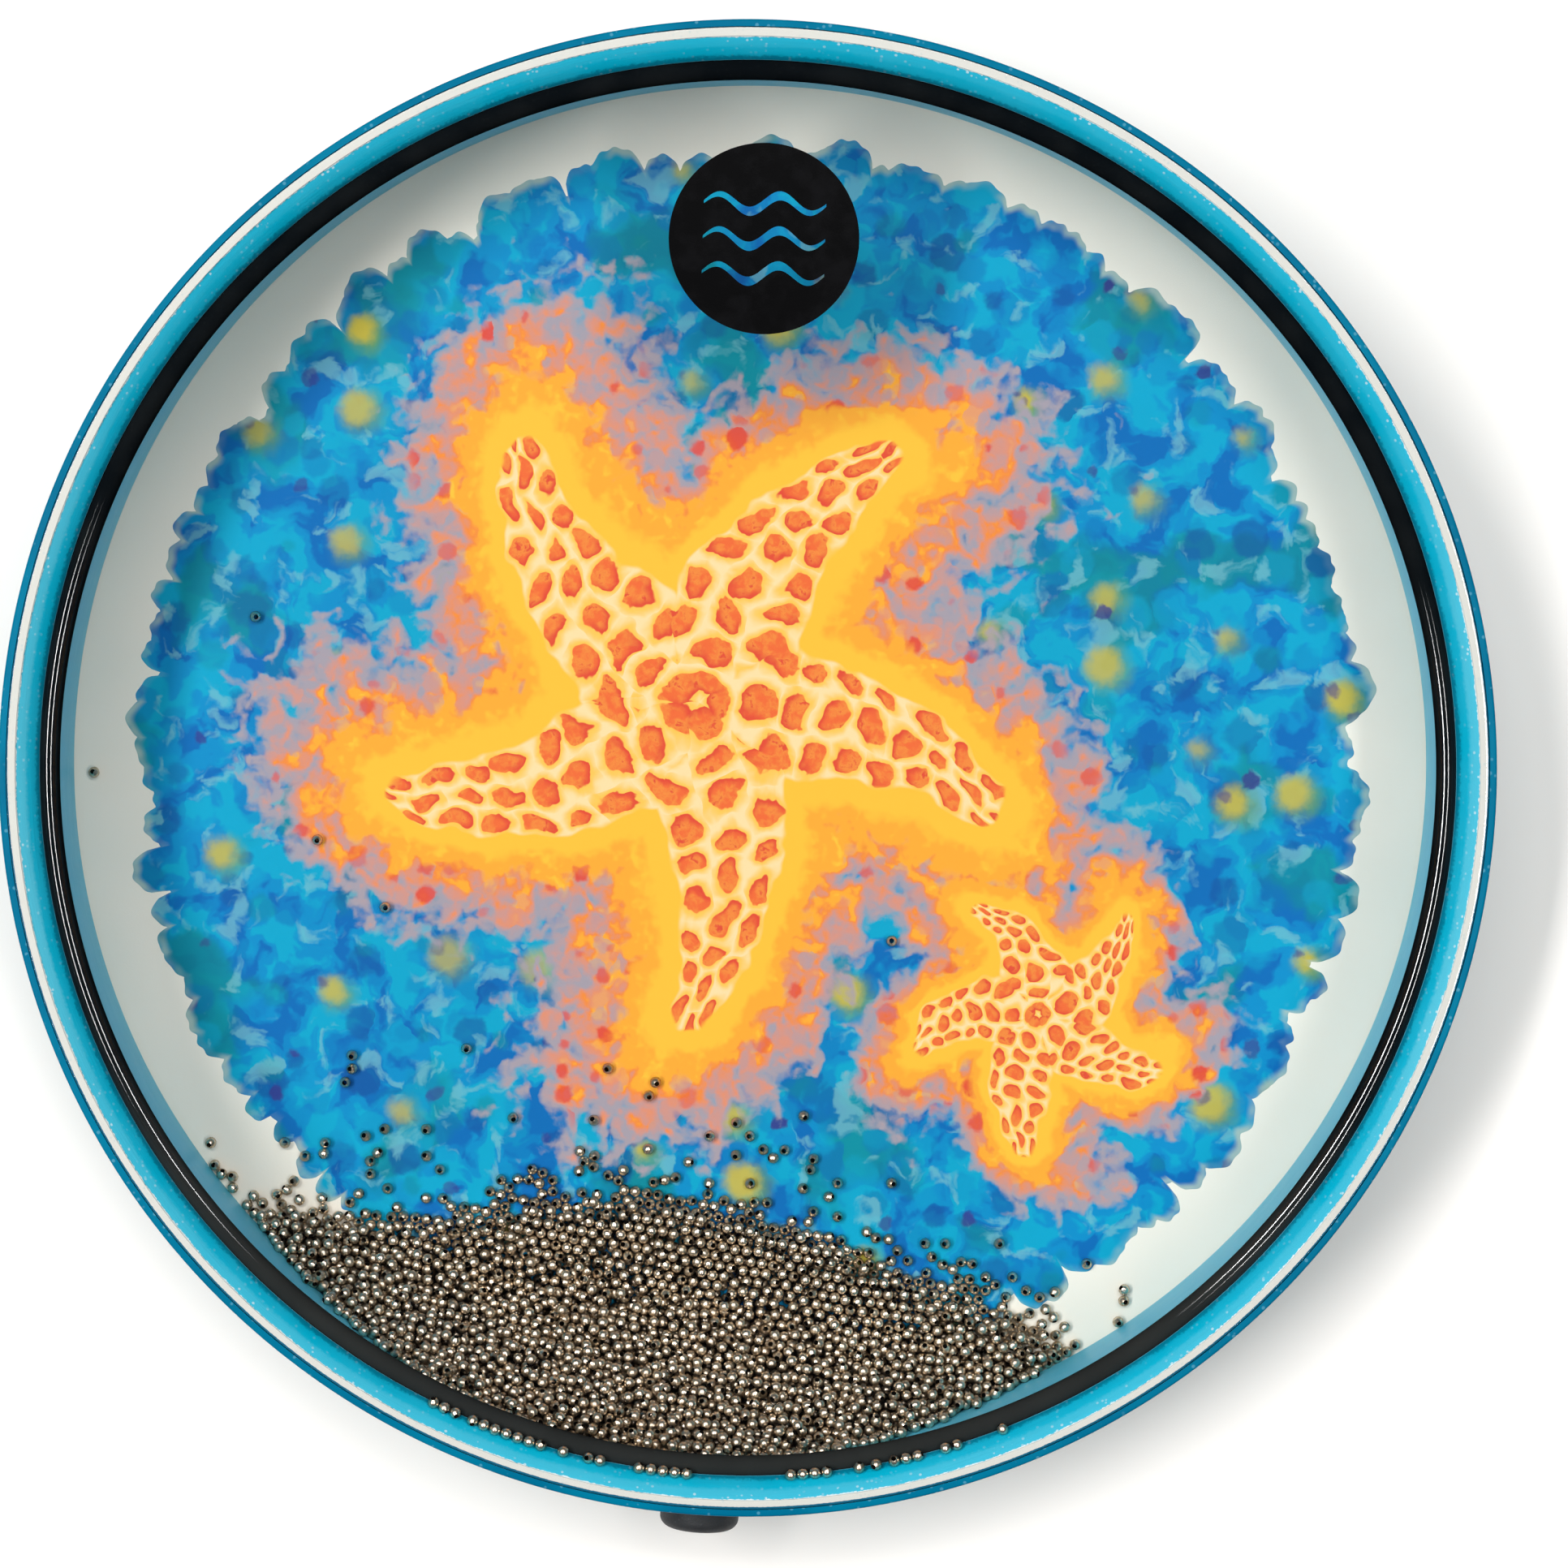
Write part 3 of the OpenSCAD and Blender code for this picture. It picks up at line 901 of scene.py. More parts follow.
@dataclass(frozen=True)
class PrintInk(Finish):
    """The print's inks on the rear head, washed out along their edge."""

    slot: Slot = Slot.PRINT
    rough: float = 0.5
    gloss: float = 0.08
    wash: Colour = PrintColours.wash

    def build(self, sea: ShaderGroup) -> bpy.types.Material:
        """Makes the material.

        Args:
            sea: The print's group.

        Returns:
            The material.
        """
        bench, place = self.bench()
        ink = sea.place(bench, Place=place).outputs[0]
        patch = bench.noise(place, 13 * MM).rise(0.42, 0.6)
        fringe = bench.kept("inward").rise(3.2 * MM, 0.6 * MM) * (patch * 0.8 + 0.1)
        paper = bench.noise(place, 0.8 * MM, 1.0)
        bench.coat(Base_Color=bench.mix(fringe, ink, self.wash),
                   Roughness=paper * 0.2 + (self.rough - 0.1))
        bench.bump(paper, 0.02 * MM)
        return bench.material


@dataclass(frozen=True)
class BadgeInk(Finish):
    """Black screen ink on the front head."""

    slot: Slot = Slot.BADGE
    rough: float = 0.22
    gloss: float = 0.08
    body: Colour = srgb(4, 4, 5)
    thin: Colour = srgb(12, 12, 14)

    def build(self) -> bpy.types.Material:
        """Makes the material.

        Returns:
            The material.
        """
        bench, place = self.bench()
        cloud = bench.noise(place, 6 * MM, 3.0).rise(0.4, 0.75)
        bench.coat(Base_Color=bench.mix(cloud, self.body, self.thin))
        bench.bump(bench.noise(place, 0.5 * MM), 0.01 * MM)
        return bench.material


@dataclass(frozen=True)
class CordRubber(Finish):
    """Black rubber cord with a lumpy skin: glossy at the sides, grey where the beads rub it."""

    slot: Slot = Slot.CORD
    rough: float = 0.06
    gloss: float = 1.0
    body: Colour = srgb(10, 14, 17)
    dusty: Colour = srgb(44, 46, 45)
    rubbed_r: float = 188.1 * MM
    glossy_r: float = 189.2 * MM
    crown_r: float = 190.6 * MM
    polish_low: float = -115.0 * MM
    polish_high: float = 20.0 * MM

    def build(self, wear: ShaderGroup) -> bpy.types.Material:
        """Makes the material.

        Args:
            wear: The shared wear group.

        Returns:
            The material.
        """
        bench, place = self.bench()
        mottle, grain, flecks, _ = bench.worn(wear, 14 * MM, 1.1 * MM, 1.2 * MM)
        x, y, _ = bench.parts(place)
        rubbed_and_sheen = y.rise(self.polish_low + 40 * MM, self.polish_low - 15 * MM)
        colour = bench.mix(rubbed_and_sheen * 0.8 + mottle * 0.15 + flecks * 0.05, self.body, self.dusty)
        radius = x.hypot(y)
        glossy = radius.rise(self.rubbed_r, self.glossy_r)
        glossy = glossy * (radius.rise(self.crown_r + 0.5 * MM, self.crown_r) * 0.88 + 0.12)
        glossy = glossy * y.rise(self.polish_low - 30 * MM, self.polish_low)
        glossy = glossy * y.rise(self.polish_high + 45 * MM, self.polish_high)
        bench.coat(Base_Color=colour, Roughness=grain * 0.06 + (self.rough - 0.03),
                   Specular_IOR_Level=glossy * self.gloss)
        bench.bump(grain, 0.012 * MM)
        return bench.material


@dataclass(frozen=True)
class StopperRubber(Finish):
    """Black rubber of the stopper, matte and finely grained."""

    slot: Slot = Slot.STOPPER
    rough: float = 0.62
    body: Colour = srgb(30, 32, 35)
    chalky: Colour = srgb(66, 68, 70)

    def build(self, wear: ShaderGroup) -> bpy.types.Material:
        """Makes the material.

        Args:
            wear: The shared wear group.

        Returns:
            The material.
        """
        bench, _ = self.bench()
        mottle, grain, flecks, _ = bench.worn(wear, 7 * MM, 0.5 * MM, 0.9 * MM)
        colour = bench.mix(mottle * 0.3 + flecks * 0.4, self.body, self.chalky)
        bench.coat(Base_Color=colour, Roughness=grain * 0.25 + (self.rough - 0.12))
        bench.bump(grain, 0.1 * MM)
        return bench.material


@dataclass(frozen=True)
class BeadSteel(Finish):
    """Tumbled steel with a warm grey tint, each bead a little different, with painted shade inside
    its bore and on beads that lie under others.
    """

    slot: Slot = Slot.BEADS
    rough: float = 0.3
    bright: Colour = srgb(244, 228, 206)
    dull: Colour = srgb(214, 197, 174)
    tarnish: Colour = srgb(160, 142, 120)
    edge: Colour = srgb(112, 99, 84)
    bore: Colour = srgb(20, 18, 16)
    deep: Colour = srgb(48, 42, 37)

    def build(self) -> bpy.types.Material:
        """Makes the material.

        Returns:
            The material.
        """
        bench, place = self.bench()
        island = bench.tone(bench.node("ShaderNodeNewGeometry").outputs["Random Per Island"])
        bore = bench.kept("bore")
        cloud = bench.noise(place, 1.1 * MM)
        colour = bench.mix(island, self.bright, self.dull)
        colour = bench.mix(cloud.rise(0.5, 0.75) * 0.5, colour, self.tarnish)
        # Painted shade: beads that lie under others are painted toward the deep colour, by their
        # kept shade share.
        colour = bench.mix(bench.kept("shade"), colour, self.deep)
        # Painted shade: the bore's faces are painted near-black and not metallic, for the shade
        # inside the hole.
        colour = bench.mix(bore, colour, self.bore)
        bench.coat(Base_Color=colour, Metallic=bore.flipped(), Specular_Tint=self.edge,
                   Roughness=cloud * 0.12 + island * 0.08 + bore * 0.4 + (self.rough - 0.08))
        return bench.material


# Mesh building


def arc(centre: tuple[float, float], radius: float, start: float, end: float,
        count: int) -> Profile:
    """Points along an arc of a profile.

    Args:
        centre: The arc's centre, as distance from the axis and height.
        radius: Its radius.
        start: The angle where it starts, in degrees from straight outwards.
        end: The angle where it ends.
        count: How many steps it takes.

    Returns:
        The points, both ends included.
    """
    angles = (math.radians(start + (end - start) * k / count) for k in range(count + 1))
    return [(centre[0] + radius * math.cos(a), centre[1] + radius * math.sin(a)) for a in angles]


def linked(name: str, data: bpy.types.ID) -> bpy.types.Object:
    """Makes an object and links it to the scene.

    Args:
        name: The object's name.
        data: Its mesh, lamp or camera.

    Returns:
        The object.
    """
    made = bpy.data.objects.new(name, data)
    bpy.context.scene.collection.objects.link(made)
    return made


def mesh_object(name: str, points: Sequence, faces: Sequence) -> bpy.types.Object:
    """Makes an object from points and faces, with its normals outwards.

    Args:
        name: The object's name.
        points: The vertices.
        faces: The faces, as lists of vertex numbers.

    Returns:
        The object, linked to the scene.
    """
    mesh = bpy.data.meshes.new(name)
    mesh.from_pydata(points, [], faces)
    edit = bmesh.new()
    edit.from_mesh(mesh)
    bmesh.ops.recalc_face_normals(edit, faces=edit.faces)
    edit.to_mesh(mesh)
    edit.free()
    return linked(name, mesh)


def keep(made: bpy.types.Object, name: str, domain: str, values: Sequence[float]) -> None:
    """Keeps a number for each point or face of an object's mesh.

    Args:
        made: The object.
        name: The name that node trees find the numbers by.
        domain: POINT or FACE.
        values: The numbers.
    """
    kept = made.data.attributes.new(name, "FLOAT", domain)
    kept.data.foreach_set("value", np.asarray(values, np.float32))


def laid_down(made: bpy.types.Object, height: float) -> None:
    """Lays a mesh that was turned on the Z axis along -Y, at this height."""
    made.data.transform(Matrix.Translation((0, 0, height))
                        @ Matrix.Rotation(math.radians(90), 4, "X"))


def smooth(made: bpy.types.Object, sharp_over: float = 35.0) -> None:
    """Shades an object smooth except at its sharp edges.

    Args:
        made: The object.
        sharp_over: The angle in degrees over which an edge stays sharp.
    """
    made.data.shade_smooth()
    made.data.set_sharp_from_angle(angle=math.radians(sharp_over))


def lathe(name: str, profile: Profile, segments: int = 384) -> bpy.types.Object:
    """Turns a closed profile round the drum's axis.

    Args:
        name: The object's name.
        profile: Points as distance from the axis and height. A stretch of the outline that runs
            along the axis is left out.
        segments: Steps round the axis.

    Returns:
        The turned solid.
    """
    turns = np.linspace(0, FULL_TURN, segments, endpoint=False)
    points: list[tuple[float, float, float]] = []
    rings: list[list[int]] = []
    for radius, height in profile:
        first = len(points)
        if radius < ON_AXIS:
            points.append((0.0, 0.0, height))
            rings.append([first] * segments)
        else:
            points.extend((radius * math.cos(t), radius * math.sin(t), height) for t in turns)
            rings.append(list(range(first, first + segments)))
    faces = []
    for low, high in zip(rings, rings[1:] + rings[:1]):
        if low[0] == low[1] and high[0] == high[1]:
            continue
        for k in range(segments):
            corners = (low[k], low[(k + 1) % segments], high[(k + 1) % segments], high[k])
            faces.append(list(dict.fromkeys(corners)))
    made = mesh_object(name, points, faces)
    smooth(made)
    return made


def dress(piece: bpy.types.Object, material: bpy.types.Material, body: Body, slot: Slot,
          *nodes: str) -> bpy.types.Object:
    """Gives a finished piece its material and its place in the frame.

    Args:
        piece: The piece.
        material: Its material.
        body: The body it rides on.
        slot: The slot its finish comes from. Not used.
        nodes: The nodes it stands for.

    Returns:
        The piece.
    """
    piece.data.materials.clear()
    piece.data.materials.append(material)
    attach(piece, body.value)
    if nodes:
        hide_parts(*nodes)
    log.info("%s: %d faces, rides on %s", piece.name, len(piece.data.polygons), body.value)
    return piece


def set_input(modifier: bpy.types.NodesModifier, name: str, value: object) -> None:
    """Sets an input of a Geometry Nodes modifier by its identifier.

    Args:
        modifier: The modifier.
        name: The input's name.
        value: Its value.
    """
    items = modifier.node_group.interface.items_tree
    pin = next(i for i in items if i.name == name and getattr(i, "in_out", "") == "INPUT")
    modifier[pin.identifier] = value


def baked(made: bpy.types.Object) -> bpy.types.Object:
    """Turns what an object's modifiers make into its plain mesh.

    Args:
        made: The object with its modifiers.

    Returns:
        The same object, without modifiers.
    """
    bpy.context.view_layer.update()
    seen = made.evaluated_get(bpy.context.evaluated_depsgraph_get())
    plain = bpy.data.meshes.new_from_object(seen)
    made.modifiers.clear()
    made.data = plain
    return made


class GeometryTree(Bench):
    """A Geometry Nodes tree with named inputs, built node by node."""

    def __init__(self, name: str, inputs: dict[str, str]) -> None:
        """Starts the tree.

        Args:
            name: The tree's name.
            inputs: Names of its inputs, each with its socket type.
        """
        super().__init__(bpy.data.node_groups.new(name, "GeometryNodeTree"))
        face = self.tree.interface
        for label, kind in {"Geometry": GEOMETRY, **inputs}.items():
            face.new_socket(label, in_out="INPUT", socket_type=kind)
        face.new_socket("Geometry", in_out="OUTPUT", socket_type=GEOMETRY)
        self.entry = self.tree.nodes.new("NodeGroupInput")
        self.exit = self.tree.nodes.new("NodeGroupOutput")

    def take(self, label: str) -> bpy.types.NodeSocket:
        """An input of the tree, seen from inside."""
        return self.entry.outputs[label]

    def ends(self, geometry: bpy.types.NodeSocket) -> None:
        """Realizes the geometry, gives it the Material input and sends it out.

        Args:
            geometry: The geometry.
        """
        real = self.node("GeometryNodeRealizeInstances", Geometry=geometry)
        dressed = self.node("GeometryNodeSetMaterial", Geometry=real.outputs[0],
                            Material=self.take("Material"))
        plug(self.tree, self.exit.inputs[0], dressed.outputs[0])


def grown(name: str, points: Sequence, tree: GeometryTree,
          inputs: dict[str, object]) -> bpy.types.Object:
    """Runs a Geometry Nodes tree on a set of points, as a modifier on a new object.

    Args:
        name: The object's name.
        points: The points that the tree starts from.
        tree: The tree.
        inputs: Values for its inputs, by name.

    Returns:
        The object.
    """
    mesh = bpy.data.meshes.new(name)
    mesh.from_pydata(points, [], [])
    made = linked(name, mesh)
    modifier = made.modifiers.new("grow", "NODES")
    modifier.node_group = tree.tree
    for label, value in inputs.items():
        set_input(modifier, label, value)
    return made


# The rim


@dataclass
class RimAssembly:
    """The shell with its tape, hoops and cord. Heights run from the rear head's outer face."""

    hoop_r: float
    shell_r: float
    height: float
    cord_r: float
    cord_ring_r: float
    cord_z: float
    film_t: float = 0.25 * MM
    tape_t: float = 0.4 * MM
    wall_r: float = 193.0 * MM
    crest_w: float = 2.4 * MM
    bevel_h: float = 6.0 * MM
    rear_ease: float = 0.8 * MM
    soft_edge: float = 0.35 * MM
    seat_gap: float = 0.05 * MM
    hoop_t: float = 2.0 * MM
    hoop_h: float = 14.0 * MM
    hoop_edge: float = 0.8 * MM
    hoop_drop: float = 0.9 * MM
    hole_r: float = 7.0 * MM
    collar_h: float = 12.0 * MM
    tape_clear: float = 0.01 * MM
    plain: float = 1.0 * MM
    steps: int = 512
    hole_steps: int = 64
    cord_sides: int = 28

    @classmethod
    def from_frame(cls) -> "RimAssembly":
        """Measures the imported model.

        Returns:
            The rim at the sizes of its nodes.
        """
        hoop, shell, cord = (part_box(name)[1] for name in ("front_hoop", "shell", "rim_cord"))
        cord_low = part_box("rim_cord")[0]
        cord_r = (cord.z - cord_low.z) / 2
        return cls(hoop_r=max(hoop.x, hoop.y), shell_r=max(shell.x, shell.y),
                   height=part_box("front_head")[1].z, cord_r=cord_r,
                   cord_ring_r=max(cord.x, cord.y) - cord_r, cord_z=cord.z - cord_r)

    @property
    def crest_r(self) -> float:
        """Inner radius of the crest that carries the front head."""
        return self.shell_r - self.crest_w

    @property
    def shell_low(self) -> float:
        """Height of the shell's rear edge."""
        return self.film_t + self.tape_t

    @property
    def shell_high(self) -> float:
        """Height of the shell's crest."""
        return self.height - self.shell_low

    def shell(self, paint: bpy.types.Material) -> bpy.types.Object:
        """Turns the shell and drills its filling hole.

        Args:
            paint: The shell's material.

        Returns:
            The shell.
        """
        foot = self.shell_high - self.bevel_h
        seat_r = self.cord_r + self.seat_gap
        reach = self.wall_r - self.cord_ring_r
        lift = math.degrees(math.acos(reach / seat_r))
        soft = self.soft_edge
        profile = [(self.wall_r + self.rear_ease, self.shell_low), (self.shell_r, self.shell_low),
                   (self.shell_r, self.shell_high), (self.crest_r + soft, self.shell_high),
                   (self.crest_r - 0.3 * soft, self.shell_high - 0.5 * soft),
                   (self.wall_r + 0.4 * soft, foot + 0.5 * soft), (self.wall_r, foot - soft)]
        profile += arc((self.cord_ring_r, self.cord_z), seat_r, lift, -lift, 6)
        profile += [(self.wall_r, self.shell_low + self.rear_ease)]
        made = lathe("shell_body", profile, self.steps)
        start, end = self.wall_r * 0.9, self.hoop_r * 1.1
        drill = lathe("drill", [(0, start), (self.hole_r, start), (self.hole_r, end), (0, end)],
                      self.hole_steps)
        laid_down(drill, self.height / 2)
        cut = made.modifiers.new("hole", "BOOLEAN")
        cut.operation = "DIFFERENCE"
        cut.solver = "EXACT"
        cut.object = drill
        baked(made)
        bpy.data.objects.remove(drill)
        smooth(made)
        return dress(made, paint, Body.DRUM, Slot.PAINT, "shell")

    def turn(self, name: str, profile: Profile, material: bpy.types.Material, slot: Slot,
             *nodes: str) -> None:
        """Turns a piece of the rim and gives it its finish."""
        dress(lathe(name, profile, self.steps), material, Body.DRUM, slot, *nodes)

    def turned_over(self, profile: Profile) -> Profile:
        """A rear profile turned over to the front."""
        return [(radius, self.height - height) for radius, height in profile]

    def tape_profile(self, inner_r: float) -> Profile:
        """Outline of the rear bedding tape.

        Args:
            inner_r: Its inner radius.

        Returns:
            The outline, out to its round corner.
        """
        low = self.film_t + self.tape_clear
        corner = arc((self.shell_r - self.tape_t, low + self.tape_t), self.tape_t, -90, 0, 5)
        return [(inner_r, self.shell_low), (inner_r, low), *corner]

    def tapes(self, material: bpy.types.Material) -> None:
        """Lays the tape between the shell and both heads.

        Args:
            material: The tape's material.
        """
        front = self.turned_over(self.tape_profile(self.crest_r))
        rear = self.tape_profile(self.wall_r + self.rear_ease)
        self.turn("front_tape", front, material, Slot.TAPE, "front_bedding")
        self.turn("rear_tape", rear, material, Slot.TAPE, "rear_bedding")

    def film_profile(self) -> Profile:
        """Outline of the rear head's film with its turned up collar.

        Returns:
            The outline, from the axis outwards and back.
        """
        outer_r = self.shell_r + self.film_t
        bend = self.film_t + self.tape_t
        top = self.collar_h
        flat = outer_r - bend - self.plain
        return [(0, 0), (flat, 0), *arc((outer_r - bend, bend), bend, -90, 0, 8),
                (outer_r, bend + self.plain), (outer_r, top), (self.shell_r, top),
                (self.shell_r, bend + self.plain),
                *arc((self.shell_r - self.tape_t, bend), self.tape_t, 0, -90, 8),
                (flat, self.film_t), (0, self.film_t)]

    def heads(self, clear: bpy.types.Material, milky: bpy.types.Material) -> None:
        """Stretches both heads over the shell.

        Args:
            clear: Material of the front head.
            milky: Material of the rear head.
        """
        rear = self.film_profile()
        self.turn("front_film", self.turned_over(rear), clear, Slot.CLEAR_FILM, "front_head",
                  "front_collar")
        self.turn("rear_film", rear, milky, Slot.MILKY_FILM, "rear_head", "rear_collar")

    def hoops(self, material: bpy.types.Material) -> None:
        """Fits the trim hoops over both collars.

        Args:
            material: The hoops' material.
        """
        inner = self.hoop_r - self.hoop_t
        low, high = self.hoop_drop, self.hoop_drop + self.hoop_h
        edge = self.hoop_edge
        rear = [(inner, high), (inner, low),
                *arc((self.hoop_r - edge, low + edge), edge, -90, 0, 7),
                *arc((self.hoop_r - edge, high - edge), edge, 0, 90, 7)]
        self.turn("front_trim_hoop", self.turned_over(rear), material, Slot.HOOP, "front_hoop")
        self.turn("rear_trim_hoop", rear, material, Slot.HOOP, "rear_hoop")

    def cord(self, material: bpy.types.Material) -> None:
        """Sweeps the rubber cord round the inner wall with Geometry Nodes.

        Args:
            material: The cord's material.
        """
        tree = GeometryTree("cord ring", {
            "Ring radius": NUMBER, "Cord radius": NUMBER, "Height": NUMBER, "Steps round": WHOLE,
            "Sides": WHOLE, "Material": MATERIAL})
        ring, side = (
            tree.node("GeometryNodeCurvePrimitiveCircle", Radius=tree.take(radius),
                      Resolution=tree.take(steps)).outputs[0]
            for radius, steps in (("Ring radius", "Steps round"), ("Cord radius", "Sides")))
        swept = tree.node("GeometryNodeCurveToMesh", Curve=ring, Profile_Curve=side)
        placed = tree.node("GeometryNodeTransform", Geometry=swept.outputs[0],
                           Translation=tree.vector(0.0, 0.0, tree.take("Height")))
        tree.ends(placed.outputs[0])
        made = baked(grown("rubber_cord", [(0, 0, 0)], tree, {
            "Ring radius": self.cord_ring_r, "Cord radius": self.cord_r, "Height": self.cord_z,
            "Steps round": self.steps, "Sides": self.cord_sides, "Material": material}))
        smooth(made, 60)
        dress(made, material, Body.DRUM, Slot.CORD, "rim_cord")

    def build(self, paint: bpy.types.Material, tape: bpy.types.Material,
              hoop: bpy.types.Material, cord: bpy.types.Material, clear: bpy.types.Material,
              milky: bpy.types.Material) -> None:
        """Builds the whole rim from the shell outwards.

        Args:
            paint: Material of the shell.
            tape: Material of both tapes.
            hoop: Material of both hoops.
            cord: Material of the cord.
            clear: Material of the front head.
            milky: Material of the rear head.
        """
        self.shell(paint)
        self.tapes(tape)
        self.heads(clear, milky)
        self.hoops(hoop)
        self.cord(cord)


@dataclass
class Print:
    """The inked sheet on the rear head: a disc whose edge is made of overlapping daubs."""

    radius: float = 172.0 * MM
    low: float = 0.25 * MM
    thick: float = 0.05 * MM
    daubs: int = 128
    daub_low: float = 3.5 * MM
    daub_high: float = 8.0 * MM
    swing: float = 3.4 * MM
    drop: float = 2.0 * MM
    wander: float = 1.2 * MM
    ripple: float = 0.35 * MM
    insets: tuple[float, ...] = (0.0, 1.5 * MM, 3.5 * MM, 8.0 * MM)
    points: int = 2160
    seed: int = 5

    def edge(self) -> np.ndarray:
        """Works out how far the ink reaches at each step round the drum.

        Returns:
            The edge's distance from the axis.
        """
        draw = np.random.default_rng(self.seed)
        turns = np.linspace(0, FULL_TURN, self.points, endpoint=False)
        wander = self.wander * np.sin(turns * 3 + 1) * np.cos(turns * 7)
        reach = self.radius - self.drop + wander
        for k in range(self.daubs):
            at = FULL_TURN * (k + draw.uniform(-0.45, 0.45)) / self.daubs
            size = draw.uniform(self.daub_low, self.daub_high)
            out = self.radius + draw.uniform(-0.6, 1.0) * self.swing - 0.35 * size
            aside = out * np.sin(turns - at)
            forth = out * np.cos(turns - at)
            room = size ** 2 - aside ** 2
            hit = (room > 0) & (forth > 0)
            reach[hit] = np.maximum(reach[hit], forth[hit] + np.sqrt(room[hit]))
        return reach + self.ripple * np.sin(turns * 211 + 3 * np.sin(turns * 17))

    def build(self, ink: bpy.types.Material) -> bpy.types.Object:
        """Makes the inked sheet, with the distance from its edge kept at each point.

        Args:
            ink: The print's material.

        Returns:
            The sheet.
        """
        edge = self.edge()
        turns = np.linspace(0, FULL_TURN, self.points, endpoint=False)
        points, inward = [], []
        for height in (self.low + self.thick, self.low):
            for inset in self.insets:
                reach = edge - inset
                points += list(zip(reach * np.cos(turns), reach * np.sin(turns),
                                   np.full(self.points, height)))
                inward += [inset] * self.points
            points.append((0.0, 0.0, height))
            inward.append(self.radius)
        side = self.points * len(self.insets) + 1
        steps = [(k, (k + 1) % self.points) for k in range(self.points)]
        faces = []
        for first in (0, side):
            for ring in range(len(self.insets) - 1):
                start = first + ring * self.points
                further = start + self.points
                faces += [(start + k, start + n, further + n, further + k) for k, n in steps]
            last = first + (len(self.insets) - 1) * self.points
            faces += [(last + k, last + n, first + side - 1) for k, n in steps]
        faces += [(k, n, side + n, side + k) for k, n in steps]
        made = mesh_object("sea_print", points, faces)
        keep(made, "inward", "POINT", inward)
        smooth(made)
        return dress(made, ink, Body.DRUM, Slot.PRINT, "head_print")


@dataclass
class Badge:
    """The printed decal on the front head: a disc of ink with waves left open in it."""

    x: float
    y: float
    radius: float
    low: float
    high: float
    turn: float = math.radians(2)
    wave_length: float = 33.0 * MM
    wave_w: float = 2.6 * MM
    wave_rise: float = 2.2 * MM
    wave_pitch: float = 9.4 * MM
    tip_share: float = 0.3
    crests: int = 2
    points: int = 56
    steps: int = 192

    @classmethod
    def from_frame(cls) -> "Badge":
        """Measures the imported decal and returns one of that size."""
        low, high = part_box("badge")
        return cls(x=(low.x + high.x) / 2, y=(low.y + high.y) / 2, radius=(high.x - low.x) / 2,
                   low=low.z, high=high.z)

    def wave(self, row: int) -> np.ndarray:
        """Outline of one wave.

        Args:
            row: Which one, counted from the middle.

        Returns:
            Points on the decal's own plane, one row each.
        """
        share = np.linspace(0, 1, self.points)
        half = (self.tip_share + (1 - self.tip_share) * np.sin(math.pi * share)) * self.wave_w / 2
        middle = row * self.wave_pitch + self.wave_rise * np.sin(FULL_TURN * self.crests * share)
        x = (share - 0.5) * self.wave_length
        upper, lower = np.column_stack([x, middle + half]), np.column_stack([x, middle - half])
        return np.vstack([upper, lower[::-1]])

    def build(self, ink: bpy.types.Material) -> bpy.types.Object:
        """Fills the disc round its waves and gives it its thickness.

        Args:
            ink: The decal's material.

        Returns:
            The decal.
        """
        turns = np.linspace(0, FULL_TURN, self.steps, endpoint=False)
        rings = [self.radius * np.column_stack([np.cos(turns), np.sin(turns)])]
        rings += [self.wave(row) for row in (-1, 0, 1)]
        place = Matrix.Translation((self.x, self.y, self.low)) @ Matrix.Rotation(self.turn, 4, "Z")
        edit = bmesh.new()
        for ring in rings:
            corners = [edit.verts.new(place @ Vector((x, y, 0))) for x, y in ring]
            for corner, following in zip(corners, corners[1:] + corners[:1]):
                edit.edges.new((corner, following))
        bmesh.ops.triangle_fill(edit, edges=edit.edges[:], use_beauty=True)
        raised = bmesh.ops.extrude_face_region(edit, geom=edit.faces[:], use_keep_orig=True)
        corners = [part for part in raised["geom"] if isinstance(part, bmesh.types.BMVert)]
        bmesh.ops.translate(edit, verts=corners, vec=(0, 0, self.high - self.low))
        mesh = bpy.data.meshes.new("scratch")
        edit.to_mesh(mesh)
        edit.free()
        made = mesh_object("wave_decal", [vertex.co[:] for vertex in mesh.vertices],
                           [tuple(polygon.vertices) for polygon in mesh.polygons])
        bpy.data.meshes.remove(mesh)
        return dress(made, ink, Body.DRUM, Slot.BADGE, "badge")


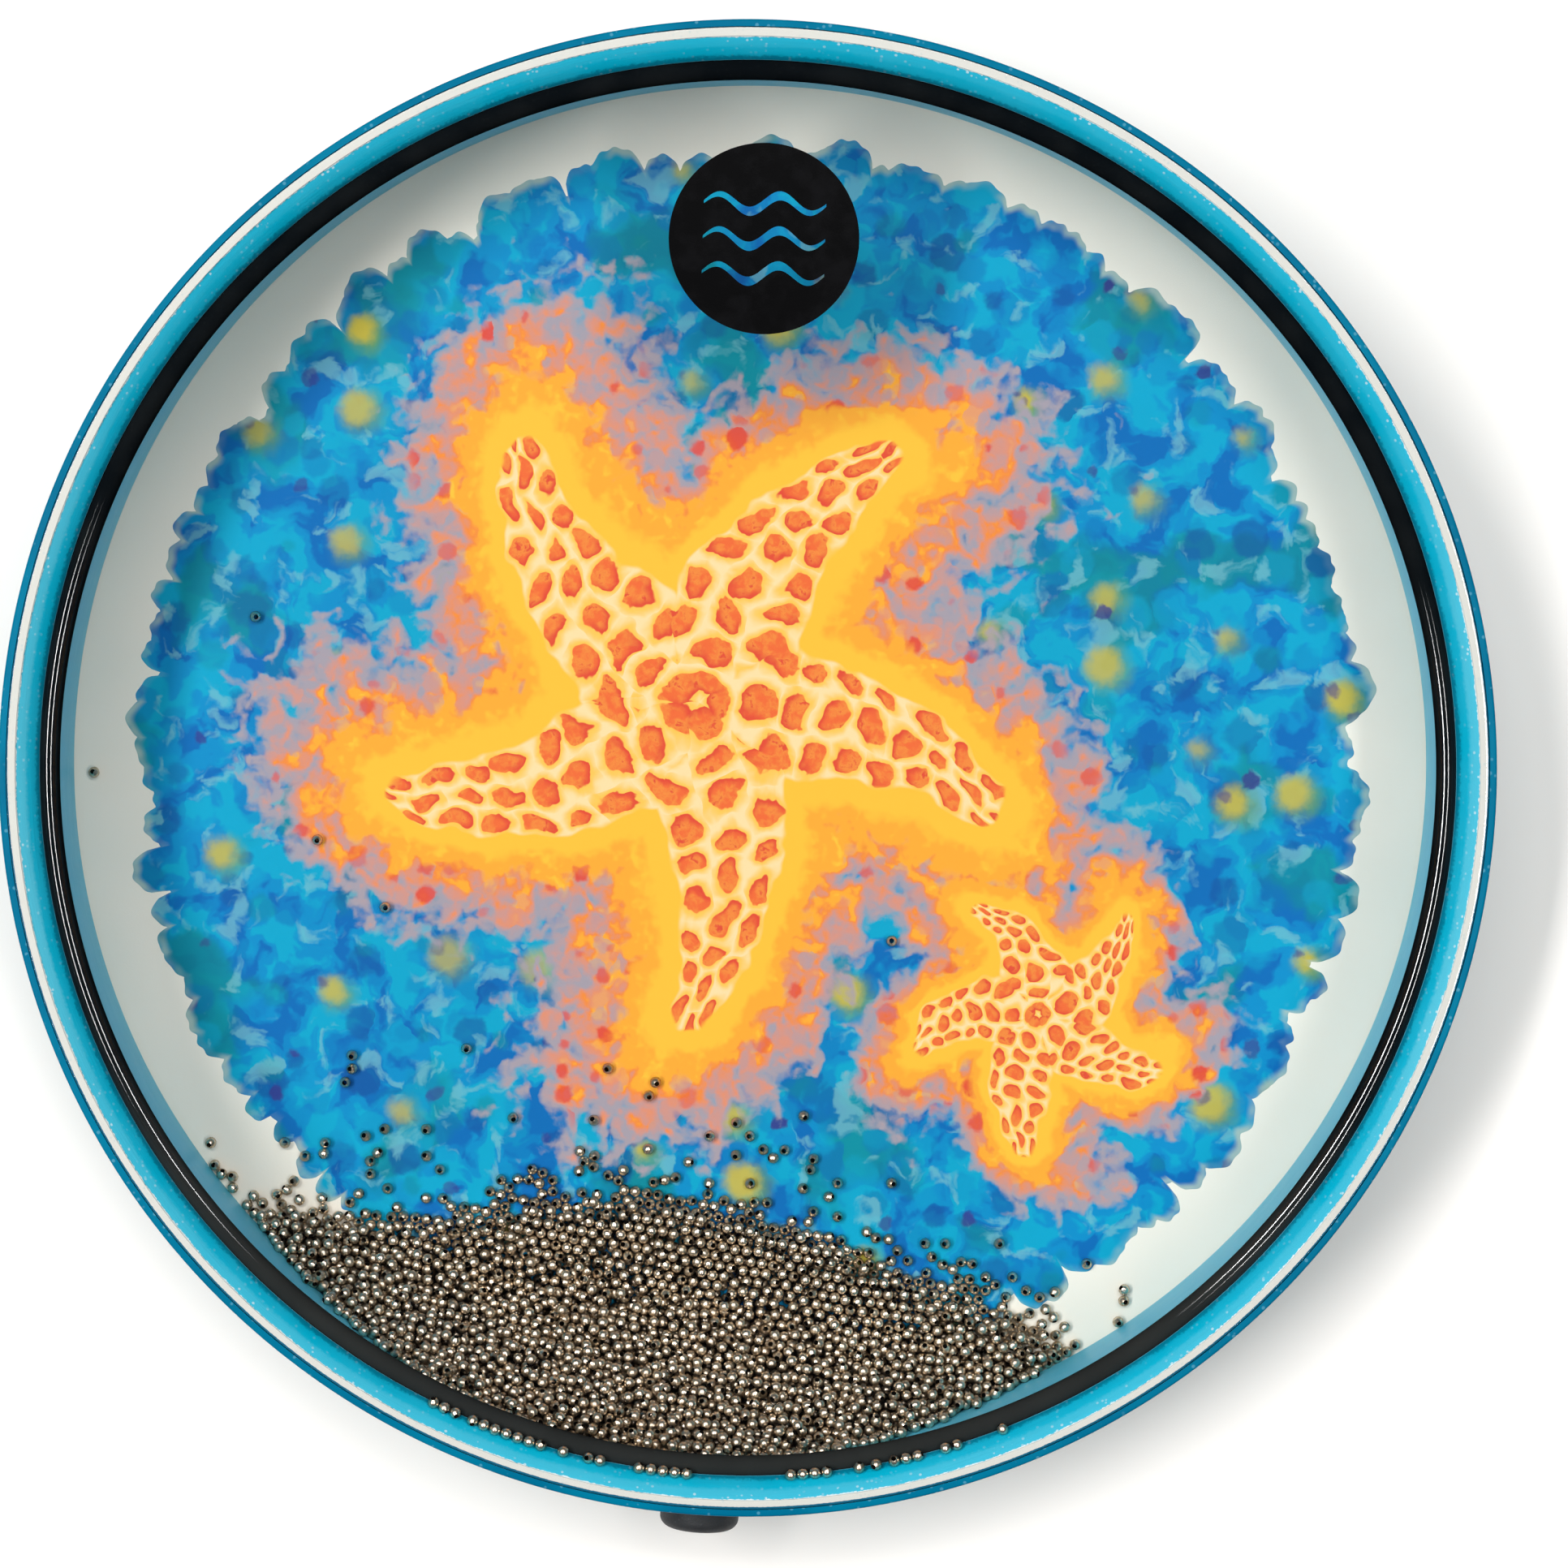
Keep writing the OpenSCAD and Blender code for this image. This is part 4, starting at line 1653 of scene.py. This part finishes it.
@dataclass
class Stopper:
    """The rubber stopper: a round-edged head with a shallow dish, on a straight hollow shank."""

    head_r: float
    outer: float
    tail: float
    height: float
    head_h: float = 11.8 * MM
    head_edge: float = 3.0 * MM
    shank_r: float = 6.95 * MM
    lead: float = 1.0 * MM
    dish_r: float = 6.5 * MM
    dish: float = 0.5 * MM
    hollow_r: float = 5.55 * MM
    hollow_end: float = 204.95 * MM
    soft: float = 0.5 * MM
    steps: int = 128

    @classmethod
    def from_frame(cls) -> "Stopper":
        """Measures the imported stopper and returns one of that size."""
        low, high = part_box("stopper")
        return cls(head_r=(high.x - low.x) / 2, outer=-low.y, tail=-high.y,
                   height=(high.z + low.z) / 2)

    def build(self, rubber: bpy.types.Material) -> bpy.types.Object:
        """Turns the stopper on its own axis and lays it on the filling hole's.

        Args:
            rubber: Its material.

        Returns:
            The stopper.
        """
        top, edge, tail, soft = self.outer, self.head_edge, self.tail, self.soft
        under = top - self.head_h
        profile = [(0, self.hollow_end), (self.hollow_r, self.hollow_end), (self.hollow_r, tail),
                   (self.shank_r - self.lead / 2, tail), (self.shank_r, tail + self.lead),
                   (self.shank_r, under)]
        profile += arc((self.head_r - soft, under + soft), soft, -90, 0, 4)
        profile += arc((self.head_r - edge, top - edge), edge, 0, 90, 10)
        profile += [(self.dish_r + 2 * self.dish, top),
                    (self.dish_r + self.dish, top - 0.3 * self.dish),
                    (self.dish_r, top - self.dish), (0, top - self.dish)]
        made = lathe("rubber_stopper", profile, self.steps)
        laid_down(made, self.height)
        return dress(made, rubber, Body.STOPPER, Slot.STOPPER, "stopper")


# The beads


@dataclass
class BeadLoad:
    """All the drum's beads: a packed heap, a thin apron in front of it and the strays."""

    wall_r: float
    floor: float = 0.3 * MM
    bead_r: float = 1.6 * MM
    bore_r: float = 0.7 * MM
    turn: float = math.radians(180 - 6.7)
    front: float = 150.6 * MM
    crest: float = 50.3 * MM
    fill_share: float = 0.56
    apron_depth: float = 26.0 * MM
    apron_shift: float = 5.0 * MM
    apron_left: float = 160.0 * MM
    apron_right: float = 110.0 * MM
    apron_pitch: float = 3.25 * MM
    upper_pitch: float = 3.5 * MM
    upper_inset: float = 4.0 * MM
    strays: int = 80
    seed: int = 23
    steps: int = 110
    quick_steps: int = 30
    piece_beads: int = 1500

    def face(self) -> tuple[np.ndarray, float]:
        """The heap's face in its own frame, where +Y runs to the wall behind it.

        Returns:
            The face's outward direction and its distance from the origin.
        """
        run = self.wall_r - self.bead_r - self.front
        climb = self.crest - self.floor - self.bead_r
        out = np.array([0.0, -climb, run]) / math.hypot(run, climb)
        return out, float(out @ np.array([0.0, self.front, self.floor + self.bead_r]))

    def heap_start(self, draw: np.random.Generator) -> np.ndarray:
        """Loosely shaken starting places inside the heap.

        Args:
            draw: The random numbers.

        Returns:
            One row for each bead.
        """
        pitch = (4 / 3 * math.pi * self.bead_r ** 3 * 4 / self.fill_share) ** (1 / 3)
        reach = self.wall_r
        steps = np.arange(-reach, reach, pitch)
        rows = np.arange(self.front - 2 * pitch, reach, pitch)
        layers = np.arange(self.floor, self.crest + pitch, pitch)
        grid = np.stack(np.meshgrid(steps, rows, layers, indexing="ij"), -1).reshape(-1, 3)
        corners = np.array([(0, 0, 0), (0.5, 0.5, 0), (0.5, 0, 0.5), (0, 0.5, 0.5)]) * pitch
        grid = (grid[:, None] + corners).reshape(-1, 3)
        grid += draw.normal(0, 0.15 * pitch, grid.shape)
        out, level = self.face()
        inside = grid @ out < level + 0.3 * self.bead_r
        inside &= np.hypot(grid[:, 0], grid[:, 1]) < self.wall_r - self.bead_r
        inside &= (grid[:, 2] > self.floor + 0.5 * self.bead_r) & (grid[:, 2] < self.crest)
        return grid[inside]

    def apron_edge(self, x: np.ndarray) -> np.ndarray:
        """How far out the apron reaches.

        Args:
            x: Places along the heap's front.

        Returns:
            The apron's distance from the axis there.
        """
        off = x + self.apron_shift
        half = np.where(off < 0, self.apron_left, self.apron_right)
        bulge = np.cos(np.clip(off / half, -1, 1) * math.pi / 2) ** 2
        return self.front - self.apron_depth * bulge

    def apron_start(self, draw: np.random.Generator, pitch: float, inset: float,
                    height: float) -> np.ndarray:
        """Starting places of one layer of the beads that lie in front of the heap.

        Args:
            draw: The random numbers.
            pitch: Distance from one bead to the next.
            inset: How far the layer stays behind the apron's edge.
            height: Height of the beads' centres.

        Returns:
            One row for each bead.
        """
        x = np.arange(-self.wall_r, self.wall_r, pitch)
        y = np.arange(self.front - self.apron_depth - 6 * MM, self.front + 9 * MM,
                      pitch * math.sin(math.radians(60)))
        grid = np.stack(np.meshgrid(x, y, indexing="ij"), -1)
        grid[:, 1::2, 0] += pitch / 2
        grid = grid.reshape(-1, 2) + draw.normal(0, 0.2 * pitch, (grid.size // 2, 2))
        ragged = draw.normal(0, 1.3 * MM, len(grid))
        behind = grid[:, 1] - self.apron_edge(grid[:, 0]) - inset
        keep = behind > ragged
        keep &= np.hypot(grid[:, 0], grid[:, 1]) < self.wall_r - self.bead_r
        keep &= draw.uniform(0, 1, len(grid)) < 0.62 + 0.38 * np.clip(behind / (4 * MM), 0, 1)
        grid = grid[keep]
        return np.column_stack([grid, np.full(len(grid), height)])

    def stray_start(self, draw: np.random.Generator) -> np.ndarray:
        """Starting places of the beads that have strayed a little from the apron.

        Args:
            draw: The random numbers.

        Returns:
            One row for each bead.
        """
        x = draw.uniform(-0.72, 0.72, self.strays) * self.wall_r
        y = self.apron_edge(x) - draw.exponential(5.5 * MM, self.strays) - self.bead_r
        return np.column_stack([x, y, np.full(self.strays, self.floor + self.bead_r)])

    @staticmethod
    def close_pairs(places: np.ndarray, reach: float) -> tuple[np.ndarray, np.ndarray]:
        """Pairs of beads that lie near each other.

        Args:
            places: One row for each bead.
            reach: The distance within which two count as near.

        Returns:
            The first and the second bead of each pair.
        """
        cells = np.floor(places / reach).astype(np.int64)
        cells -= cells.min(0) - 1
        span = cells.max(0) + 2
        keys = (cells[:, 0] * span[1] + cells[:, 1]) * span[2] + cells[:, 2]
        order = np.argsort(keys, kind="stable")
        sorted_keys = keys[order]
        firsts, seconds = [], []
        near = [(i, j, k) for i in (-1, 0, 1) for j in (-1, 0, 1) for k in (-1, 0, 1)]
        for offset in (o for o in near if o >= (0, 0, 0)):
            other = keys + (offset[0] * span[1] + offset[1]) * span[2] + offset[2]
            start = np.searchsorted(sorted_keys, other, "left")
            count = np.searchsorted(sorted_keys, other, "right") - start
            first = np.repeat(np.arange(len(keys)), count)
            inner = np.arange(len(first)) - np.repeat(np.cumsum(count) - count, count)
            second = order[np.repeat(start, count) + inner]
            if offset == (0, 0, 0):
                first, second = first[first < second], second[first < second]
            firsts.append(first)
            seconds.append(second)
        first, second = np.concatenate(firsts), np.concatenate(seconds)
        close = ((places[first] - places[second]) ** 2).sum(1) < reach ** 2
        return first[close], second[close]

    def settle(self, places: np.ndarray, pull: np.ndarray, fixed: np.ndarray,
               steps: int) -> np.ndarray:
        """Lets the beads push each other apart and sink into the drum's corner.

        Args:
            places: Where they start.
            pull: The direction in which each is drawn.
            fixed: True for beads that stay where they are.
            steps: How many times they are moved.

        Returns:
            Where they come to rest.
        """
        size = 2 * self.bead_r
        free = (~fixed).astype(float)
        count = len(places)
        for step in range(steps):
            drawn = max(0.0, 1 - step / (0.65 * steps))
            places = places + pull * (0.04 * size * drawn * free[:, None])
            if step % 4 == 0:
                first, second = self.close_pairs(places, 1.3 * size)
            for _ in range(3):
                apart = places[second] - places[first]
                gap = np.maximum(np.sqrt((apart ** 2).sum(1)), 1e-9)
                over = np.maximum(size - gap, 0)
                push = apart * (over / gap * 0.5)[:, None]
                hits = np.bincount(second, over > 0, count) + np.bincount(first, over > 0, count)
                for axis in range(3):
                    moved = np.bincount(second, push[:, axis], count)
                    moved -= np.bincount(first, push[:, axis], count)
                    places[:, axis] += moved * free / np.maximum(1.0, 0.5 * hits)
                out = np.hypot(places[:, 0], places[:, 1])
                limit = self.wall_r - self.bead_r
                inward = np.where(out > limit, limit / out, 1.0)
                places[:, :2] *= np.where(fixed, 1.0, inward)[:, None]
                places[:, 2] = np.where(fixed, places[:, 2], np.clip(
                    places[:, 2], self.floor + self.bead_r, self.crest))
        return places

    def node_beads(self, node: str) -> np.ndarray:
        """Centres of the separate beads of a node.

        Args:
            node: The node's name.

        Returns:
            One row for each bead.
        """
        edit = bmesh.new()
        edit.from_mesh(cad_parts[node].data)
        bmesh.ops.remove_doubles(edit, verts=edit.verts, dist=0.002 * MM)
        seen: set[bmesh.types.BMVert] = set()
        centres = []
        for start in edit.verts:
            if start in seen:
                continue
            seen.add(start)
            island, wave = [], [start]
            while wave:
                vertex = wave.pop()
                island.append(vertex.co[:])
                for edge in vertex.link_edges:
                    other = edge.other_vert(vertex)
                    if other not in seen:
                        seen.add(other)
                        wave.append(other)
            corners = np.array(island)
            centres.append((corners.min(0) + corners.max(0)) / 2)
        edit.free()
        return np.array(centres)

    def bead_mesh(self) -> bpy.types.Object:
        """One drilled bead on the Z axis, with its bore marked.

        Returns:
            The bead, not linked to the scene.
        """
        start = math.degrees(math.asin(self.bore_r / self.bead_r))
        profile = arc((0.0, 0.0), self.bead_r, 90 - start, start - 90, 4)
        made = lathe("drilled_bead", profile, 12)
        keep(made, "bore", "FACE", [math.hypot(*polygon.center[:2]) < self.bore_r * 1.02
                                    for polygon in made.data.polygons])
        smooth(made, 50)
        bpy.context.scene.collection.objects.unlink(made)
        return made

    def scatter_tree(self) -> GeometryTree:
        """Builds the tree that sets a bead on each point, turned at random.

        Returns:
            The tree.
        """
        tree = GeometryTree("bead scatter", {
            "Bead": OBJECT, "Seed": WHOLE, "Most tip": NUMBER, "Material": MATERIAL})
        bead = tree.node("GeometryNodeObjectInfo", {"transform_space": "ORIGINAL"},
                         Object=tree.take("Bead"))
        drawn = tree.node("FunctionNodeRandomValue", {"data_type": "FLOAT_VECTOR"},
                          Min=tree.vector(-1.0, -1.0, -1.0), Max=tree.vector(1.0, 1.0, 1.0),
                          Seed=tree.take("Seed"))
        tip = tree.node("GeometryNodeInputNamedAttribute", {"data_type": "FLOAT"}, Name="tip")
        most = tree.tone(tip.outputs[0]) * tree.tone(tree.take("Most tip"))
        turned = tree.reckon("MULTIPLY", drawn.outputs[0], tree.vector(most, most, math.pi))
        angles = tree.node("FunctionNodeEulerToRotation", Euler=turned)
        placed = tree.node("GeometryNodeInstanceOnPoints", Points=tree.take("Geometry"),
                           Instance=bead.outputs["Geometry"], Rotation=angles.outputs[0])
        tree.ends(placed.outputs[0])
        return tree

    def shades(self, places: np.ndarray) -> np.ndarray:
        """How far each bead lies in the shade of those above it.

        Args:
            places: One row for each bead.

        Returns:
            A share for each bead, 0 in the open and near 1 deep inside.
        """
        first, second = self.close_pairs(places, 2.6 * self.bead_r)
        apart = places[second] - places[first]
        lift = apart[:, 2] / np.sqrt((apart ** 2).sum(1))
        above = np.bincount(first, np.maximum(lift, 0) ** 2, len(places))
        above += np.bincount(second, np.maximum(-lift, 0) ** 2, len(places))
        return np.clip(1.05 * above - 1.25, 0.0, 0.92)

    def scatter(self, name: str, places: np.ndarray, tips: np.ndarray, shades: np.ndarray,
                seed: int, steel: bpy.types.Material) -> bpy.types.Object:
        """Makes one piece of many beads.

        Args:
            name: The piece's name.
            places: One row for each bead.
            tips: How far each may tip, 0 to 1.
            shades: How far each lies in the shade of others, 0 to 1.
            seed: Seed of their turns.
            steel: Their material.

        Returns:
            The piece.
        """
        made = grown(name, places.tolist(), self.tree, {
            "Bead": self.bead, "Seed": seed, "Most tip": math.pi, "Material": steel})
        keep(made, "tip", "POINT", tips)
        keep(made, "shade", "POINT", shades)
        return baked(made)

    def build(self, steel: bpy.types.Material) -> None:
        """Settles the beads and makes their pieces.

        Args:
            steel: The beads' material.
        """
        draw = np.random.default_rng(self.seed)
        self.bead = self.bead_mesh()
        self.tree = self.scatter_tree()
        back = np.array(Matrix.Rotation(-self.turn, 3, "Z"))
        loose = self.node_beads("loose_beads") @ back.T
        heap, strays = self.heap_start(draw), self.stray_start(draw)
        rest = self.floor + self.bead_r
        apron = np.vstack([self.apron_start(draw, self.apron_pitch, 0.0, rest),
                           self.apron_start(draw, self.upper_pitch, self.upper_inset,
                                            rest + 1.7 * self.bead_r)])
        places = np.vstack([loose, heap, apron, strays])
        kinds = np.repeat([0, 1, 2, 3], [len(loose), len(heap), len(apron), len(strays)])
        out, _ = self.face()
        pull = np.where((kinds == 1)[:, None], -out, np.array([0.0, 0.0, -1.0]))
        steps = self.steps
        places = self.settle(places, pull, kinds == 0, steps)
        low = places[:, 2] < self.floor + 1.15 * self.bead_r
        lying = draw.choice([0.1, 0.3, 1.0], len(places), p=[0.5, 0.2, 0.3])
        tips = np.where(low & (kinds != 1), lying, 1.0)
        shades = self.shades(places)
        forward = np.array(Matrix.Rotation(self.turn, 3, "Z"))
        world = places @ forward.T
        order = np.argsort(places[:, 0], kind="stable")
        order = order[kinds[order] != 0]
        count = math.ceil(len(order) / self.piece_beads)
        nodes = ["bead_core", "bead_layer_low", "bead_layer_mid", "bead_layer_top"]
        for number, part in enumerate(np.array_split(order, count)):
            made = self.scatter(f"heap_beads_{number + 1}", world[part], tips[part],
                                shades[part], self.seed + number, steel)
            dress(made, steel, Body.BEAD_PILE, Slot.BEADS, *(nodes if number == 0 else []))
        alone = np.zeros(len(loose))
        made = self.scatter("stray_beads", world[kinds == 0], alone + 0.12, alone,
                            self.seed + 50, steel)
        dress(made, steel, Body.BEAD_PILE, Slot.BEADS, "loose_beads")
        groove = self.node_beads("groove_beads")
        alone = np.zeros(len(groove))
        made = self.scatter("groove_row_beads", groove, alone + 0.7, alone, self.seed + 60, steel)
        dress(made, steel, Body.GROOVE_ROW, Slot.BEADS, "groove_beads")
        log.info("%d beads in all", len(places) + len(groove))


# The studio


@dataclass
class Studio:
    """Floor, world, lamps and camera."""

    roll: float = math.radians(3.8)
    camera_at: tuple[float, float, float] = (0.0103, 0.0408, 1.2045)
    camera_aim: tuple[float, float, float] = (0.0101, -0.0023, 0.0635)
    lens: float = 96.8
    sensor: float = 36.0
    ambient: float = 0.35
    lamps: tuple[tuple[str, tuple[float, float, float], tuple[float, float], float], ...] = (
        ("left_softbox", (-1.45, 0.15, 3.0), (2.2, 0.45), 82.0),
        ("right_softbox", (1.02, 0.0, 3.0), (2.2, 0.35), 37.0),
        ("top_softbox", (0.0, 1.25, 3.0), (2.0, 0.6), 34.0),
    )
    lamp_aim: tuple[float, float, float] = (0.0, 0.0, 0.03)
    overhead: tuple[float, float] = (math.radians(19), math.radians(13))
    high: tuple[float, float] = (math.radians(86), math.radians(55))
    floor_reach: float = 6.0
    floor_z: float = -0.02 * MM
    floor_pale: Colour = srgb(255, 254, 252)
    floor_grey: Colour = srgb(245, 244, 242)
    counter_bounce_tint: Colour = srgb(254, 248, 242)
    counter_bounce_r: tuple[float, float] = (0.34, 0.21)
    floor_glow: float = 0.04

    def camera(self) -> None:
        """Places the camera where the photograph was taken from."""
        data = bpy.data.cameras.new("camera")
        data.lens = self.lens
        data.sensor_width = self.sensor
        data.clip_start = 0.05
        made = linked("camera", data)
        eye, aim = Vector(self.camera_at), Vector(self.camera_aim)
        back = (eye - aim).normalized()
        up = Vector((-math.sin(self.roll), math.cos(self.roll), 0))
        right = up.cross(back).normalized()
        up = back.cross(right)
        turn = Matrix((right, up, back)).transposed().to_4x4()
        made.matrix_world = Matrix.Translation(eye) @ turn
        bpy.context.scene.camera = made

    def world(self) -> None:
        """A room that is palest high up, but dark overhead, so that the flat film stays clear."""
        world = bpy.data.worlds.new("room")
        bpy.context.scene.world = world
        world.use_nodes = True
        bench = Bench(world.node_tree)
        ground = world.node_tree.nodes["Background"]
        place = bench.node("ShaderNodeTexCoord").outputs["Generated"]
        _, _, up = bench.parts(place)
        path = bench.node("ShaderNodeLightPath")
        overhead = up.rise(*map(math.cos, self.overhead))
        high = up.rise(*map(math.cos, self.high))
        glow = (overhead * -0.96 + 1.0) * (high * 0.55 + 0.45) * self.ambient
        seen = bench.tone(path.outputs["Is Camera Ray"])
        bench.feed(ground, Strength=seen * glow.flipped() + glow)

    def floor(self) -> None:
        """A pale floor that keeps the drum's shadow."""
        reach, low = self.floor_reach, self.floor_z
        made = mesh_object("floor", [(-reach, -reach, low), (reach, -reach, low),
                                     (reach, reach, low), (-reach, reach, low)], [(0, 1, 2, 3)])
        bench = MaterialBench("floor")
        x, y, _ = bench.parts(bench.place)
        speckle = bench.noise(bench.place, 4 * MM) * 0.1
        pale = bench.mix(speckle, self.floor_pale, self.floor_grey)
        path = bench.node("ShaderNodeLightPath")
        seen, *others = (bench.tone(path.outputs[f"Is {kind} Ray"])
                         for kind in ("Camera", "Glossy", "Transmission"))
        for ray in others:
            seen = seen.most(ray)
        # Painted light: the floor is painted warmer near the drum, against the blue light that the
        # rim bounces onto it.
        bench.coat(Base_Color=bench.mix(x.hypot(y).rise(*self.counter_bounce_r), pale, self.counter_bounce_tint),
                   Roughness=0.9, Specular_IOR_Level=0.0, Emission_Color=(1.0, 1.0, 1.0),
                   Emission_Strength=seen * self.floor_glow)
        made.data.materials.append(bench.material)

    def lights(self) -> None:
        """Hangs the soft lamps."""
        for name, place, size, power in self.lamps:
            data = bpy.data.lights.new(name, "AREA")
            data.shape = "RECTANGLE"
            data.size, data.size_y = size
            data.energy = power
            away = Vector(place) - Vector(self.lamp_aim)
            turn = away.to_track_quat("Z", "Y").to_matrix().to_4x4()
            linked(name, data).matrix_world = Matrix.Translation(place) @ turn

    def build(self) -> None:
        """Sets the studio up."""
        self.camera()
        self.world()
        self.floor()
        self.lights()
        bpy.context.scene.view_settings.view_transform = "Standard"


def main() -> None:
    """Builds the drum from its rim inwards and sets it in its studio."""
    logging.basicConfig(level=logging.INFO, format="%(message)s")
    Studio().build()
    wear = wear_group()
    sea = print_group(sea_star_group(), PrintColours())
    rim = RimAssembly.from_frame()
    rim.build(ShellPaint().build(wear), BeddingTape().build(wear), HoopPlastic().build(wear),
              CordRubber().build(wear), ClearFilm().build(), MilkyFilm().build(sea))
    Print().build(PrintInk().build(sea))
    Badge.from_frame().build(BadgeInk().build())
    Stopper.from_frame().build(StopperRubber().build(wear))
    BeadLoad(wall_r=rim.wall_r).build(BeadSteel().build())


if __name__ == "__main__":
    main()
